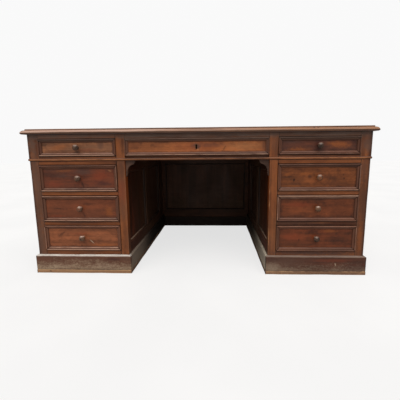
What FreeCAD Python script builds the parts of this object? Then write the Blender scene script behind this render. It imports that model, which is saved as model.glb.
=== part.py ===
import FreeCAD, Part
import math
import os

from FreeCAD import Vector

# A twin-pedestal writing desk in polished walnut: a moulded top on a frieze of three drawers, carried by
# two pedestals of three drawers each. Millimetres, +X to the right, +Y to the back, +Z up. The origin is on
# the floor under the middle of the desk.

# Whole desk
TOP_WIDTH = 1760.0
HEIGHT = 760.0
CASE_DEPTH = 911.0  # pedestal front to pedestal back
KNEEHOLE_WIDTH = 732.0
WALL_THICK = 22.0  # side walls, backs and frieze boards
POST_DEEP = 38.0  # front posts and rails, front to back

# Top: a rounded nose below, a convex thumb above it and an upright fillet at the upper edge
TOP_THICK = 26.5
TOP_OVERHANG = 22.0  # past the frieze, all round
TOP_NOSE_RADIUS = 6.0
TOP_THUMB_RUN = 17.0
TOP_THUMB_BULGE = 3.0
TOP_FILLET_HIGH = 6.0

# Frieze
FRIEZE_HIGH = 133.0
FRIEZE_PROUD = 1.5  # past the pedestals, all round
FRIEZE_UPPER_RAIL = 23.5
FRIEZE_LOWER_RAIL = 22.5
FRIEZE_END_POST = 52.5
FRIEZE_INNER_POST = 44.0
CENTRE_OPENING = 724.0
CENTRE_RAIL_SET_BACK = 8.0
FRIEZE_BEAD_HIGH = 11.0
FRIEZE_BEAD_PROUD = 3.0
FRIEZE_BEAD_SHOULDER = 1.0
SOFFIT_THICK = 7.0
BLOCK_SIDE = 20.0
BLOCK_LENGTH = 70.0
BLOCKS_DEEP = 3
BLOCKS_WIDE = 5

# Pedestals
PEDESTAL_INNER_POST = 40.0
PEDESTAL_OUTER_POST = 43.0
PEDESTAL_RAIL = 22.5
DRAWERS_PER_PEDESTAL = 3
SIDE_RAIL_LOW = 139.0
SIDE_RAIL_HIGH = 60.0
SIDE_MUNTIN = 50.0
SIDE_REAR_STILE = 131.0
BACK_STILE = 60.0
PANEL_THICK = 8.0
PANEL_BEAD = 10.0
PANEL_BEAD_BULGE = 2.0

# Base: a strip on the floor, and the plinth board that stands on it
SHOE_HIGH = 19.0
SHOE_WIDE = 40.0
SHOE_PROUD = 0.8  # past the plinth
PLINTH_HIGH = 96.0  # top of its upright face, over the floor
PLINTH_PROUD = 11.5
PLINTH_CHAMFER = 7.0

# Board at the back of the kneehole, its skirting, and the brackets in the upper front corners
MODESTY_THICK = 16.0
MODESTY_STILE = 28.0
MODESTY_RAIL_LOW = 125.0
MODESTY_RAIL_HIGH = 60.0
MODESTY_PANEL_THICK = 6.0
MODESTY_PANEL_SET = 5.0
SKIRTING_HIGH = 80.0
SKIRTING_THICK = 8.0
SKIRTING_CHAMFER = 6.0
BRACKET_WIDE = 50.0
BRACKET_HIGH = 85.0
BRACKET_THICK = 18.0
BRACKET_SET_BACK = 12.0
BRACKET_NOSE_DROP = 21.0
BRACKET_NOSE_IN = 9.0
BRACKET_TOE = 23.0
BRACKET_WEB = 8.5
BRACKET_SAG = 10.0
BRACKET_ROUND = 3.0

# Drawers
DRAWER_LENGTH = 640.0  # box, behind the front board
FRONT_THICK = 20.0
FRONT_GAP = 1.2  # front board to opening, each side
PANEL_SINK = 4.0  # face of the front board behind the frame
BOX_SIDE_GAP = 1.5
BOX_HEADROOM = 14.0
BOX_BOARD = 12.0
BOX_BOTTOM = 8.0
BOX_BOTTOM_UP = 10.0
BOX_GROOVE = 6.0
BOX_BACK_DROP = 6.0
RUN_GAP = 0.3
RUNNER_THICK = 14.0
RUNNER_TUCK = 20.0
GUIDE_HIGH = 24.0
GUIDE_GAP = 0.5
STOP_SIZE = 6.0
STOP_LENGTH = 30.0
STOP_INSET = 60.0

# Moulding planted round each drawer front: an outer round ridge, a quirk and an ovolo down to the panel
MOULDING_WIDE = 17.0
MOULDING_HIGH = 12.0
RIDGE_WIDE = 6.5
RIDGE_ROUND = 3.3
QUIRK_WIDE = 1.5
QUIRK_DEEP = 1.6
TOE_HIGH = 1.8
OVOLO_BULGE = 1.6

# Turned knob with a spigot through the front board
KNOB_LENGTH = 30.0
KNOB_RADIUS = 15.0
KNOB_FOOT_RADIUS = 9.0
KNOB_FOOT_HIGH = 2.5
KNOB_NECK_RADIUS = 6.2
KNOB_NECK_HIGH = 8.0
KNOB_RIM_LOW = 16.5  # underside of the head at its rim
KNOB_RIM_HIGH = 22.5
KNOB_RIM_ROUND = 1.6  # how far the rim stands out past its two edges
KNOB_HOLLOW = 1.0  # curve of the foot
KNOB_FLARE = 2.5  # curve under the head
SPIGOT_RADIUS = 6.0
SPIGOT_GAP = 0.15

# Lock of the middle frieze drawer
KEYHOLE_RADIUS = 5.0
KEYHOLE_SLOT = 6.0
KEYHOLE_HIGH = 22.0
LOCK_WIDE = 60.0
LOCK_HIGH = 42.0
LOCK_THICK = 12.0
BOLT_WIDE = 20.0
BOLT_THICK = 5.0
BOLT_COVER = 1.5  # lock case in front of the bolt
BOLT_HEEL = 10.0  # bolt below the top of the lock case
BOLT_TRAVEL = 8.0
BOLT_GAP = 0.3

MITRE_SPARE = 1.0  # past the edge of a section, on pieces that are cut to a mitre
ORIGIN = Vector()
X_AXIS = Vector(1, 0, 0)
Z_AXIS = Vector(0, 0, 1)
FRONTWARD, RIGHTWARD, BACKWARD, LEFTWARD = 0, 90, 180, 270  # turn of a wall built facing the front

# Heights
top_low = HEIGHT - TOP_THICK
frieze_low = top_low - FRIEZE_HIGH
frieze_opening = (frieze_low + FRIEZE_LOWER_RAIL, top_low - FRIEZE_UPPER_RAIL)
plinth_top = PLINTH_HIGH + PLINTH_CHAMFER
stack = frieze_low - plinth_top
opening_high = (stack - (DRAWERS_PER_PEDESTAL + 1) * PEDESTAL_RAIL) / DRAWERS_PER_PEDESTAL
pedestal_openings = [
    (low, low + opening_high)
    for low in (
        plinth_top + PEDESTAL_RAIL + level * (opening_high + PEDESTAL_RAIL)
        for level in range(DRAWERS_PER_PEDESTAL)
    )
]

# Half widths, for the right half of the desk
knee = KNEEHOLE_WIDTH / 2
frieze_half = TOP_WIDTH / 2 - TOP_OVERHANG
pedestal_half = frieze_half - FRIEZE_PROUD
centre_half = CENTRE_OPENING / 2
side_opening = (centre_half + FRIEZE_INNER_POST, frieze_half - FRIEZE_END_POST)
pedestal_opening = (knee + PEDESTAL_INNER_POST, pedestal_half - PEDESTAL_OUTER_POST)
partition = (
    centre_half + (FRIEZE_INNER_POST - WALL_THICK) / 2,
    centre_half + (FRIEZE_INNER_POST + WALL_THICK) / 2,
)

# Depths: the box of the desk, knobs and all, is centred on the origin
knob_reach = FRIEZE_PROUD + KNOB_LENGTH - PANEL_SINK
top_reach = FRIEZE_PROUD + TOP_OVERHANG
front = max(knob_reach, top_reach) - (max(knob_reach, top_reach) + CASE_DEPTH + top_reach) / 2
back = front + CASE_DEPTH
frieze_front = front - FRIEZE_PROUD
frieze_back = back + FRIEZE_PROUD
wall_front = front + POST_DEEP  # where walls, runners and guides start, behind the posts
frieze_wall_front = frieze_front + POST_DEEP

nodes = {}


def box(x, y, z):
    """Block between two values on each axis."""
    return Part.makeBox(x[1] - x[0], y[1] - y[0], z[1] - z[0], Vector(x[0], y[0], z[0]))


def section(start, *steps):
    """Closed face in the YZ plane. A step is an end point, or a middle and an end point for an arc."""
    edges = []
    here = Vector(0, *start)
    closing = () if steps[-1][-1] == start else (start,)
    for step in steps + closing:
        if isinstance(step[0], tuple):
            middle, end = (Vector(0, *point) for point in step)
            edges.append(Part.Arc(here, middle, end).toShape())
        else:
            end = Vector(0, *step)
            edges.append(Part.LineSegment(here, end).toShape())
        here = end
    return Part.Face(Part.Wire(edges))


def bulge(a, b, out):
    """Point beside the middle of the chord from a to b, moved to the right of its direction by out."""
    run, rise = b[0] - a[0], b[1] - a[1]
    chord = math.hypot(run, rise)
    return ((a[0] + b[0]) / 2 + out * rise / chord, (a[1] + b[1]) / 2 - out * run / chord)


def mitred_strip(length, face):
    """Bar along X of the given section (Y inwards from the edge, Z up), mitred inwards at both ends."""
    limits = face.BoundBox
    near, far = limits.YMin - MITRE_SPARE, limits.YMax + MITRE_SPARE
    corners = [(near, near), (length - near, near), (length - far, far), (far, far), (near, near)]
    plan = Part.Face(Part.makePolygon([Vector(x, y, limits.ZMin - MITRE_SPARE) for x, y in corners]))
    mitres = plan.extrude(Vector(0, 0, limits.ZLength + 2 * MITRE_SPARE))
    start, end = near - MITRE_SPARE, length - near + MITRE_SPARE
    bar = face.translated(Vector(start, 0, 0)).extrude(Vector(end - start, 0, 0))
    return bar.common(mitres).Solids[0]


def mitred_ring(width, depth, face):
    """Four mitred strips round the rectangle from (0, 0) to (width, depth)."""
    corners = [(0, 0), (width, 0), (width, depth), (0, depth)]
    strips = []
    for quarter, corner in enumerate(corners):
        strip = mitred_strip(depth if quarter % 2 else width, face)
        strip.rotate(ORIGIN, Z_AXIS, 90 * quarter)
        strip.translate(Vector(*corner, 0))
        strips.append(strip)
    return strips


def upright(solids, place):
    """Lay a flat ring up on end: its depth becomes height and its height comes towards the front."""
    for solid in solids:
        solid.rotate(ORIGIN, X_AXIS, 90)
        solid.translate(Vector(*place))
    return solids


def turned(solids, facing, place):
    """Turn pieces built facing the front to another side and put them in place."""
    for solid in solids:
        solid.rotate(ORIGIN, Z_AXIS, facing)
        solid.translate(Vector(*place))
    return solids


def mirrored(solids):
    """The same pieces on the left half of the desk."""
    return [solid.mirror(ORIGIN, X_AXIS) for solid in solids]


def both(solids):
    """Pieces of the right half with their mirror images."""
    return solids + mirrored(solids)


def top_section(span):
    """Section of the top across one direction, from 0 to span, with the moulded edge at both ends."""
    nose, run = TOP_NOSE_RADIUS, TOP_THUMB_RUN
    step = TOP_THICK - TOP_FILLET_HIGH
    slack = nose * (1 - math.sqrt(0.5))
    right_thumb = bulge((span, nose), (span - run, step), TOP_THUMB_BULGE)
    left_thumb = (span - right_thumb[0], right_thumb[1])
    return section(
        (nose, 0),
        (span - nose, 0),
        ((span - slack, slack), (span, nose)),
        (right_thumb, (span - run, step)),
        (span - run, TOP_THICK),
        (run, TOP_THICK),
        (run, step),
        (left_thumb, (0, nose)),
        ((slack, slack), (nose, 0)),
    )


def desk_top():
    """Slab whose edge moulding meets in a mitre at each corner."""
    width, depth = TOP_WIDTH, CASE_DEPTH + 2 * top_reach
    across = top_section(depth).extrude(Vector(width + 2 * MITRE_SPARE, 0, 0))
    across.translate(Vector(-MITRE_SPARE, 0, 0))
    along = top_section(width).extrude(Vector(depth + 2 * MITRE_SPARE, 0, 0))
    along.rotate(ORIGIN, Z_AXIS, -90)
    along.translate(Vector(0, depth + MITRE_SPARE, 0))
    slab = across.common(along).Solids[0]
    slab.translate(Vector(-width / 2, front - top_reach, top_low))
    return [slab]


def frieze_bead():
    """Half-round bead round the foot of the frieze."""
    shoulder, high = FRIEZE_BEAD_SHOULDER, FRIEZE_BEAD_HIGH
    half_round = section(
        (0, 0), (-shoulder, 0), ((-FRIEZE_BEAD_PROUD, high / 2), (-shoulder, high)), (0, high)
    )
    ring = mitred_ring(2 * frieze_half, frieze_back - frieze_front, half_round)
    return turned(ring, FRONTWARD, (-frieze_half, frieze_front, frieze_low))


def bolt_place(clear, low, high):
    """Space of the lock bolt between two heights, with a clearance round it."""
    middle = frieze_front + PANEL_SINK + FRONT_THICK - LOCK_THICK + BOLT_COVER + BOLT_THICK / 2
    half_wide, half_thick = BOLT_WIDE / 2 + clear, BOLT_THICK / 2 + clear
    return box((-half_wide, half_wide), (middle - half_thick, middle + half_thick), (low, high))


def frieze_frame():
    """Posts and rails of the frieze front. The middle lower rail is set back above the bead."""
    deep = (frieze_front, frieze_wall_front)
    low, high = frieze_opening
    bead_top = frieze_low + FRIEZE_BEAD_HIGH
    centre = (-centre_half, centre_half)
    right = [
        box((centre_half, side_opening[0]), deep, (frieze_low, top_low)),
        box((side_opening[1], frieze_half), deep, (frieze_low, top_low)),
        box(side_opening, deep, (frieze_low, low)),
        box(side_opening, deep, (high, top_low)),
    ]
    mortise = bolt_place(BOLT_GAP, high, high + BOLT_TRAVEL + BOLT_GAP)
    middle = [
        box(centre, deep, (high, top_low)).cut(mortise).Solids[0],
        box(centre, deep, (frieze_low, bead_top)),
        box(centre, (frieze_front + CENTRE_RAIL_SET_BACK, frieze_wall_front), (bead_top, low)),
    ]
    return both(right) + middle


def frieze_boards():
    """End boards, back board and the board that closes the frieze over the kneehole."""
    inner_back = frieze_back - WALL_THICK
    deep = (frieze_wall_front, inner_back)
    tall = (frieze_low, top_low)
    end = box((frieze_half - WALL_THICK, frieze_half), deep, tall)
    rear = box((-frieze_half, frieze_half), (inner_back, frieze_back), tall)
    soffit = box((-partition[0], partition[0]), deep, (frieze_low, frieze_low + SOFFIT_THICK))
    return both([end]) + [rear, soffit]


def glue_blocks():
    """Square blocks in the corner between the frieze boards and the underside of the top."""
    tall = (top_low - BLOCK_SIDE, top_low)
    inner_back = frieze_back - WALL_THICK
    step = (inner_back - frieze_wall_front) / (BLOCKS_DEEP + 1)
    right = []
    for count in range(1, BLOCKS_DEEP + 1):
        start = frieze_wall_front + count * step - BLOCK_LENGTH / 2
        deep = (start, start + BLOCK_LENGTH)
        for wall in (frieze_half - WALL_THICK, partition[0]):
            right.append(box((wall - BLOCK_SIDE, wall), deep, tall))
    gap = 2 * frieze_half / (BLOCKS_WIDE + 1)
    rear = []
    for count in range(1, BLOCKS_WIDE + 1):
        start = -frieze_half + count * gap - BLOCK_LENGTH / 2
        rear.append(box((start, start + BLOCK_LENGTH), (inner_back - BLOCK_SIDE, inner_back), tall))
    return both(right) + rear


def runners(walls, opening, level, starts, end):
    """Runner, side guide and stop at each side of a drawer, between the walls beside it."""
    frame_face, wall_face = starts
    stop = frame_face + PANEL_SINK + FRONT_THICK + RUN_GAP
    pieces = []
    for wall, edge, inward in ((walls[0], opening[0], 1), (walls[1], opening[1], -1)):
        tuck = edge + inward * RUNNER_TUCK
        guide = edge + inward * (BOX_SIDE_GAP - GUIDE_GAP)
        block = sorted((edge + inward * STOP_INSET, edge + inward * (STOP_INSET + STOP_LENGTH)))
        pieces += [
            box(sorted((wall, tuck)), (wall_face, end), (level - RUNNER_THICK, level)),
            box(sorted((wall, guide)), (wall_face, end), (level, level + GUIDE_HIGH)),
            box(block, (stop, stop + STOP_SIZE), (level, level + STOP_SIZE)),
        ]
    return pieces


def frieze_runners():
    """What the three frieze drawers run on."""
    starts = (frieze_front, frieze_wall_front)
    end = frieze_back - WALL_THICK
    level = frieze_opening[0]
    side = runners((partition[1], frieze_half - WALL_THICK), side_opening, level, starts, end)
    centre = (-centre_half, centre_half)
    return both(side) + runners((-partition[0], partition[0]), centre, level, starts, end)


def pedestal_runners():
    """What the drawers of the right pedestal run on."""
    walls = (knee + WALL_THICK, pedestal_half - WALL_THICK)
    starts = (front, wall_front)
    pieces = []
    for low, _ in pedestal_openings:
        pieces += runners(walls, pedestal_opening, low, starts, back - WALL_THICK)
    return pieces


def pedestal_front():
    """Two front posts, and the rails between the drawers."""
    deep = (front, wall_front)
    tall = (SHOE_HIGH, frieze_low)
    posts = [
        box((knee, pedestal_opening[0]), deep, tall),
        box((pedestal_opening[1], pedestal_half), deep, tall),
    ]
    lows = [SHOE_HIGH] + [high for _, high in pedestal_openings]
    highs = [low for low, _ in pedestal_openings] + [frieze_low]
    return posts + [box(pedestal_opening, deep, tall) for tall in zip(lows, highs)]


def panel_bead_section():
    """Small ovolo in the corner between a panel and its frame."""
    size = PANEL_BEAD
    return section((0, 0), (0, size), (bulge((0, size), (size, 0), -PANEL_BEAD_BULGE), (size, 0)))


def panelled_wall(length, tall, bays, rails, thick, panel):
    """Frame members, panels and beads of a wall that faces the front and starts at the origin.

    bays are the stretches of the length that hold panels, rails the widths of the lower and upper rail,
    and panel the depth of the panel's face behind the frame and its thickness.
    """
    first, last = bays[0][0], bays[-1][1]
    low, high = tall
    sill, head = low + rails[0], high - rails[1]
    deep = (0, thick)
    frame = [box((first, last), deep, (low, sill)), box((first, last), deep, (head, high))]
    frame += [box(stile, deep, tall) for stile in ((0, first), (last, length)) if stile[1] > stile[0]]
    frame += [box((one[1], two[0]), deep, (sill, head)) for one, two in zip(bays, bays[1:])]
    face, panel_thick = panel
    panels = [box(bay, (face, face + panel_thick), (sill, head)) for bay in bays]
    beads = []
    for start, end in bays:
        beads += upright(mitred_ring(end - start, head - sill, panel_bead_section()), (start, face, sill))
    return frame, panels, beads


def pedestal_walls():
    """Outer side, inner side and back of the right pedestal."""
    tall = (SHOE_HIGH, frieze_low)
    rails = (SIDE_RAIL_LOW, SIDE_RAIL_HIGH)
    panel = (WALL_THICK - PANEL_THICK, PANEL_THICK)
    length = back - WALL_THICK - wall_front
    bay = (length - SIDE_MUNTIN - SIDE_REAR_STILE) / 2
    bays = [(0, bay), (bay + SIDE_MUNTIN, 2 * bay + SIDE_MUNTIN)]
    bays_from_back = [(length - end, length - start) for start, end in reversed(bays)]
    outer = panelled_wall(length, tall, bays, rails, WALL_THICK, panel)
    inner = panelled_wall(length, tall, bays_from_back, rails, WALL_THICK, panel)
    width = pedestal_half - knee
    rear = panelled_wall(width, tall, [(BACK_STILE, width - BACK_STILE)], rails, WALL_THICK, panel)
    return (
        [turned(pieces, RIGHTWARD, (pedestal_half, wall_front, 0)) for pieces in outer],
        [turned(pieces, LEFTWARD, (knee, back - WALL_THICK, 0)) for pieces in inner],
        [turned(pieces, BACKWARD, (pedestal_half, back, 0)) for pieces in rear],
    )


def plinth():
    """Plinth boards round the right pedestal, chamfered along the top."""
    board = section(
        (0, SHOE_HIGH), (-PLINTH_PROUD, SHOE_HIGH), (-PLINTH_PROUD, PLINTH_HIGH), (0, plinth_top)
    )
    return turned(mitred_ring(pedestal_half - knee, CASE_DEPTH, board), FRONTWARD, (knee, front, 0))


def base_shoe():
    """Flat strips on the floor under the plinth and the edge of the right pedestal."""
    outer = -PLINTH_PROUD - SHOE_PROUD
    inner = outer + SHOE_WIDE
    strip = section((inner, 0), (outer, 0), (outer, SHOE_HIGH), (inner, SHOE_HIGH))
    return turned(mitred_ring(pedestal_half - knee, CASE_DEPTH, strip), FRONTWARD, (knee, front, 0))


def modesty_board(base):
    """Panelled board at the back of the kneehole, notched over the plinths and base strips."""
    bays = [(MODESTY_STILE, KNEEHOLE_WIDTH - MODESTY_STILE)]
    frame, panels, beads = panelled_wall(
        KNEEHOLE_WIDTH,
        (SHOE_HIGH, frieze_low),
        bays,
        (MODESTY_RAIL_LOW, MODESTY_RAIL_HIGH),
        MODESTY_THICK,
        (MODESTY_PANEL_SET, MODESTY_PANEL_THICK),
    )
    for pieces in (frame, panels, beads):
        turned(pieces, FRONTWARD, (-knee, back - MODESTY_THICK, 0))
    return [member.cut(base).Solids[0] for member in frame], panels, beads


def modesty_skirting():
    """Skirting board across the foot of the kneehole, chamfered along the top."""
    half = knee - PLINTH_PROUD - SHOE_PROUD
    face = back - MODESTY_THICK - SKIRTING_THICK
    board = section(
        (0, 0),
        (SKIRTING_THICK, 0),
        (SKIRTING_THICK, SKIRTING_HIGH),
        (SKIRTING_CHAMFER, SKIRTING_HIGH),
        (0, SKIRTING_HIGH - SKIRTING_CHAMFER),
    )
    return turned([board.extrude(Vector(2 * half, 0, 0))], FRONTWARD, (-half, face, 0))


def bracket():
    """Shaped bracket in the right upper corner: a rounded nose, a deep hollow and a rounded toe."""
    wide, high = BRACKET_WIDE, BRACKET_HIGH
    nose = (wide - BRACKET_NOSE_IN, -BRACKET_NOSE_DROP)
    toe = (BRACKET_WEB, BRACKET_TOE - high)
    outline = section(
        (0, 0),
        (wide, 0),
        (bulge((wide, 0), nose, -BRACKET_ROUND), nose),
        (bulge(nose, toe, BRACKET_SAG), toe),
        (bulge(toe, (0, -high), -BRACKET_ROUND), (0, -high)),
    )
    solid = outline.extrude(Vector(BRACKET_THICK, 0, 0))
    return turned([solid], RIGHTWARD, (knee, front + BRACKET_SET_BACK, frieze_low))


def drawer_moulding_section():
    """Ridge, quirk and ovolo, from the outer edge inwards."""
    wide, high = MOULDING_WIDE, MOULDING_HIGH
    shoulder = high - RIDGE_ROUND
    quirk = (RIDGE_WIDE + QUIRK_WIDE, shoulder - QUIRK_DEEP)
    toe = (wide, TOE_HIGH)
    return section(
        (0, 0),
        (0, shoulder),
        ((RIDGE_WIDE / 2, high), (RIDGE_WIDE, shoulder)),
        (RIDGE_WIDE, quirk[1]),
        quirk,
        (bulge(quirk, toe, -OVOLO_BULGE), toe),
        (wide, 0),
    )


def knob(x, y, z):
    """Turned knob that stands on the face of the front board, with its spigot behind."""
    foot, neck = KNOB_FOOT_RADIUS, KNOB_NECK_RADIUS
    waist = (neck, KNOB_NECK_HIGH)
    edge = KNOB_RADIUS - KNOB_RIM_ROUND
    middle = (KNOB_RADIUS, (KNOB_RIM_LOW + KNOB_RIM_HIGH) / 2)
    rise = KNOB_LENGTH - KNOB_RIM_HIGH
    ball = (edge**2 + rise**2) / (2 * rise)
    lean = math.atan2(edge, ball - rise) / 2
    cap = (ball * math.sin(lean), KNOB_LENGTH - ball + ball * math.cos(lean))
    half = section(
        (0, -FRONT_THICK),
        (SPIGOT_RADIUS, -FRONT_THICK),
        (SPIGOT_RADIUS, 0),
        (foot, 0),
        (foot, KNOB_FOOT_HIGH),
        (bulge((foot, KNOB_FOOT_HIGH), waist, -KNOB_HOLLOW), waist),
        (bulge(waist, (edge, KNOB_RIM_LOW), -KNOB_FLARE), (edge, KNOB_RIM_LOW)),
        (middle, (edge, KNOB_RIM_HIGH)),
        (cap, (0, KNOB_LENGTH)),
    )
    solid = half.revolve(ORIGIN, Z_AXIS, 360)
    return upright([solid], (x, y, z))


def keyhole(z, deep):
    """Space of the keyhole: a round hole over a slot."""
    eye = z + KEYHOLE_HIGH / 2 - KEYHOLE_RADIUS
    hole = Part.makeCylinder(KEYHOLE_RADIUS, deep[1] - deep[0], Vector(0, deep[0], eye), Vector(0, 1, 0))
    slot = box((-KEYHOLE_SLOT / 2, KEYHOLE_SLOT / 2), deep, (z - KEYHOLE_HIGH / 2, eye))
    return hole.fuse(slot)


def drawer_box(opening, y, low, high):
    """Two grooved sides, the bottom that slides into them and the back that stands on it."""
    left, right = opening[0] + BOX_SIDE_GAP, opening[1] - BOX_SIDE_GAP
    end = y + DRAWER_LENGTH
    foot = low + RUN_GAP
    rim = high - BOX_HEADROOM
    floor = (foot + BOX_BOTTOM_UP, foot + BOX_BOTTOM_UP + BOX_BOTTOM)
    inner = (left + BOX_BOARD, right - BOX_BOARD)
    bottom = box((inner[0] - BOX_GROOVE, inner[1] + BOX_GROOVE), (y, end), floor)
    sides = [
        box(board, (y, end), (foot, rim)).cut(bottom).Solids[0]
        for board in ((left, inner[0]), (inner[1], right))
    ]
    rear = box(inner, (end - BOX_BOARD, end), (floor[1], rim - BOX_BACK_DROP))
    return sides + [rear, bottom]


def drawer(opening, tall, frame_face):
    """Front board, moulding and box of a drawer that closes an opening in the given frame face."""
    left, right = opening[0] + FRONT_GAP, opening[1] - FRONT_GAP
    low, high = tall[0] + FRONT_GAP, tall[1] - FRONT_GAP
    face = frame_face + PANEL_SINK
    board = box((left, right), (face, face + FRONT_THICK), (low, high))
    ring = mitred_ring(right - left, high - low, drawer_moulding_section())
    moulding = upright(ring, (left, face, low))
    return board, moulding, drawer_box(opening, face + FRONT_THICK, *tall)


def drawer_with_knob(opening, tall, frame_face):
    """Nodes of a drawer of the right half that is pulled by a knob."""
    board, moulding, case = drawer(opening, tall, frame_face)
    middle = ((opening[0] + opening[1]) / 2, frame_face + PANEL_SINK, (tall[0] + tall[1]) / 2)
    bore = Part.makeCylinder(SPIGOT_RADIUS + SPIGOT_GAP, FRONT_THICK, Vector(*middle), Vector(0, 1, 0))
    return {
        "front": [board.cut(bore).Solids[0]],
        "moulding": moulding,
        "box": case,
        "knob": knob(*middle),
    }


def centre_drawer():
    """Nodes of the middle frieze drawer: it has a lock and no knob."""
    opening = (-centre_half, centre_half)
    board, moulding, case = drawer(opening, frieze_opening, frieze_front)
    middle = (frieze_opening[0] + frieze_opening[1]) / 2
    board_top = frieze_opening[1] - FRONT_GAP
    board_back = frieze_front + PANEL_SINK + FRONT_THICK
    through = (board_back - FRONT_THICK, board_back)
    lock_deep = (board_back - LOCK_THICK, board_back)
    lock_tall = (middle - LOCK_HIGH / 2, middle + LOCK_HIGH / 2)
    lock = box((-LOCK_WIDE / 2, LOCK_WIDE / 2), lock_deep, lock_tall)
    heel = lock_tall[1] - BOLT_HEEL
    channel = bolt_place(BOLT_GAP, heel - BOLT_GAP, board_top)
    hole = keyhole(middle, through)
    return {
        "centre_drawer_front": [board.cut(lock).cut(channel).cut(hole).Solids[0]],
        "centre_drawer_moulding": moulding,
        "centre_drawer_box": case,
        "lock_case": [lock.cut(channel).cut(hole).Solids[0]],
        "lock_bolt": [bolt_place(0, heel, board_top - BOLT_GAP)],
    }


def add_pair(name, solids):
    """One node for each half of the desk."""
    nodes["right_" + name] = solids
    nodes["left_" + name] = mirrored(solids)


nodes["desk_top"] = desk_top()
nodes["frieze_bead"] = frieze_bead()
nodes["frieze_frame"] = frieze_frame()
nodes["frieze_boards"] = frieze_boards()
nodes["frieze_partitions"] = both(
    [box(partition, (frieze_wall_front, frieze_back - WALL_THICK), (frieze_low, top_low))]
)
nodes["frieze_runners"] = frieze_runners()
nodes["glue_blocks"] = glue_blocks()
add_pair("pedestal_front", pedestal_front())

outer_side, inner_side, rear_side = pedestal_walls()
add_pair("pedestal_sides", outer_side[0] + inner_side[0])
add_pair("pedestal_panels", outer_side[1] + inner_side[1] + rear_side[1])
nodes["pedestal_backs"] = both(rear_side[0])
nodes["pedestal_runners"] = both(pedestal_runners())
add_pair("plinth", plinth())
nodes["base_shoes"] = both(base_shoe())

base = Part.makeCompound(nodes["right_plinth"] + nodes["left_plinth"] + nodes["base_shoes"])
modesty_frame, modesty_panel, modesty_beads = modesty_board(base)
nodes["modesty_frame"] = modesty_frame
nodes["modesty_panel"] = modesty_panel
nodes["modesty_skirting"] = modesty_skirting()
nodes["panel_beads"] = both(outer_side[2] + inner_side[2] + rear_side[2]) + modesty_beads
nodes["kneehole_brackets"] = both(bracket())

levels = dict(zip(("lower", "middle", "upper"), pedestal_openings))
for level, tall in levels.items():
    for piece, solids in drawer_with_knob(pedestal_opening, tall, front).items():
        add_pair(f"{level}_drawer_{piece}", solids)
for piece, solids in drawer_with_knob(side_opening, frieze_opening, frieze_front).items():
    add_pair(f"frieze_drawer_{piece}", solids)
nodes.update(centre_drawer())

os.makedirs("parts", exist_ok=True)
for name, solids in nodes.items():
    Part.makeCompound(solids).exportStep(f"parts/{name}.step")
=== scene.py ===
import math
from functools import partial

import bpy
import numpy as np
from mathutils import Matrix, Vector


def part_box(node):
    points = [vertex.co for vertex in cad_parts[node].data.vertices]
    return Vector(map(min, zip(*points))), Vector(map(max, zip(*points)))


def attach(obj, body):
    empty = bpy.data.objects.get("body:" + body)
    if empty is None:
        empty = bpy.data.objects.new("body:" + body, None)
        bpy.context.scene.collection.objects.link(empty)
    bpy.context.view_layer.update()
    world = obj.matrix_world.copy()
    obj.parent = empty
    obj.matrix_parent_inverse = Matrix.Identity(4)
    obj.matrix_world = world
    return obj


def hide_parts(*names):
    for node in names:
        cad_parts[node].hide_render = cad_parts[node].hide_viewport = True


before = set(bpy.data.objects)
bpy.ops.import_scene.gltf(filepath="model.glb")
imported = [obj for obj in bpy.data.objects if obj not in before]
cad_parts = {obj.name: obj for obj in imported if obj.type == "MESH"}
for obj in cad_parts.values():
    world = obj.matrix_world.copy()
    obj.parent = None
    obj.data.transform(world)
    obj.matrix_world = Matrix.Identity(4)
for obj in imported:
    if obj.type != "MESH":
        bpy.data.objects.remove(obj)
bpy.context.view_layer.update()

# Base strips. Flat strips of pale wood, never polished, that are nailed under each plinth and carry the desk.
# They are mitred at the corners, rubbed along the edges and dark with dirt in the joints.

X, Y, Z = np.eye(3)
rng = np.random.default_rng(1885)

STRIP_WIDE = 0.040
STRIP_EASE = 0.0022
STRIP_DENTS = 0.0008
PALE_WOOD = ((192, 150, 112), (148, 108, 76), (136, 96, 66), (214, 174, 130), (74, 56, 42))
PORE = (0.012, 0.006, 0.004, 1.0)
STRIP_MARKS = [
    ("knot", -795, 11, 8, 5, -20, 0.8), ("dark", -560, 20, 260, 4, 0, 0.5), ("dark", 610, 20, 260, 5, 0, 0.7),
    ("grey", 640, 9, 420, 18, 0, 0.6), ("film", -352, 9, 7, 40, 0, 0.9), ("film", 352, 9, 7, 40, 0, 0.9),
]
STAIN_COLOURS = {
    "red": (138, 62, 36), "orange": (158, 88, 42), "tan": (184, 132, 88), "grey": (92, 64, 54),
    "plum": (70, 38, 34), "dark": (54, 31, 23), "knot": (30, 18, 14), "dust": (196, 176, 150),
    "film": (102, 78, 66),
}
NOWHERE = (0.0, 0.0, 0.0)
GREY = (0.2, 0.2, 0.2, 1.0)
TONE_SPREAD = 0.07
RING_STEP = 0.03
END_STEP = 0.005


def box_of(node):
    """Low and high corner of the box round a node."""
    return [np.array(corner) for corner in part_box(node)]


def unit(rows):
    """Rows of numbers, each divided by its length."""
    return rows / np.linalg.norm(rows, axis=1)[:, None]


def oblong(wide, high):
    """Corners of a rectangle, anticlockwise from its own origin."""
    return [(0, 0), (wide, 0), (wide, high), (0, high)]


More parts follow.
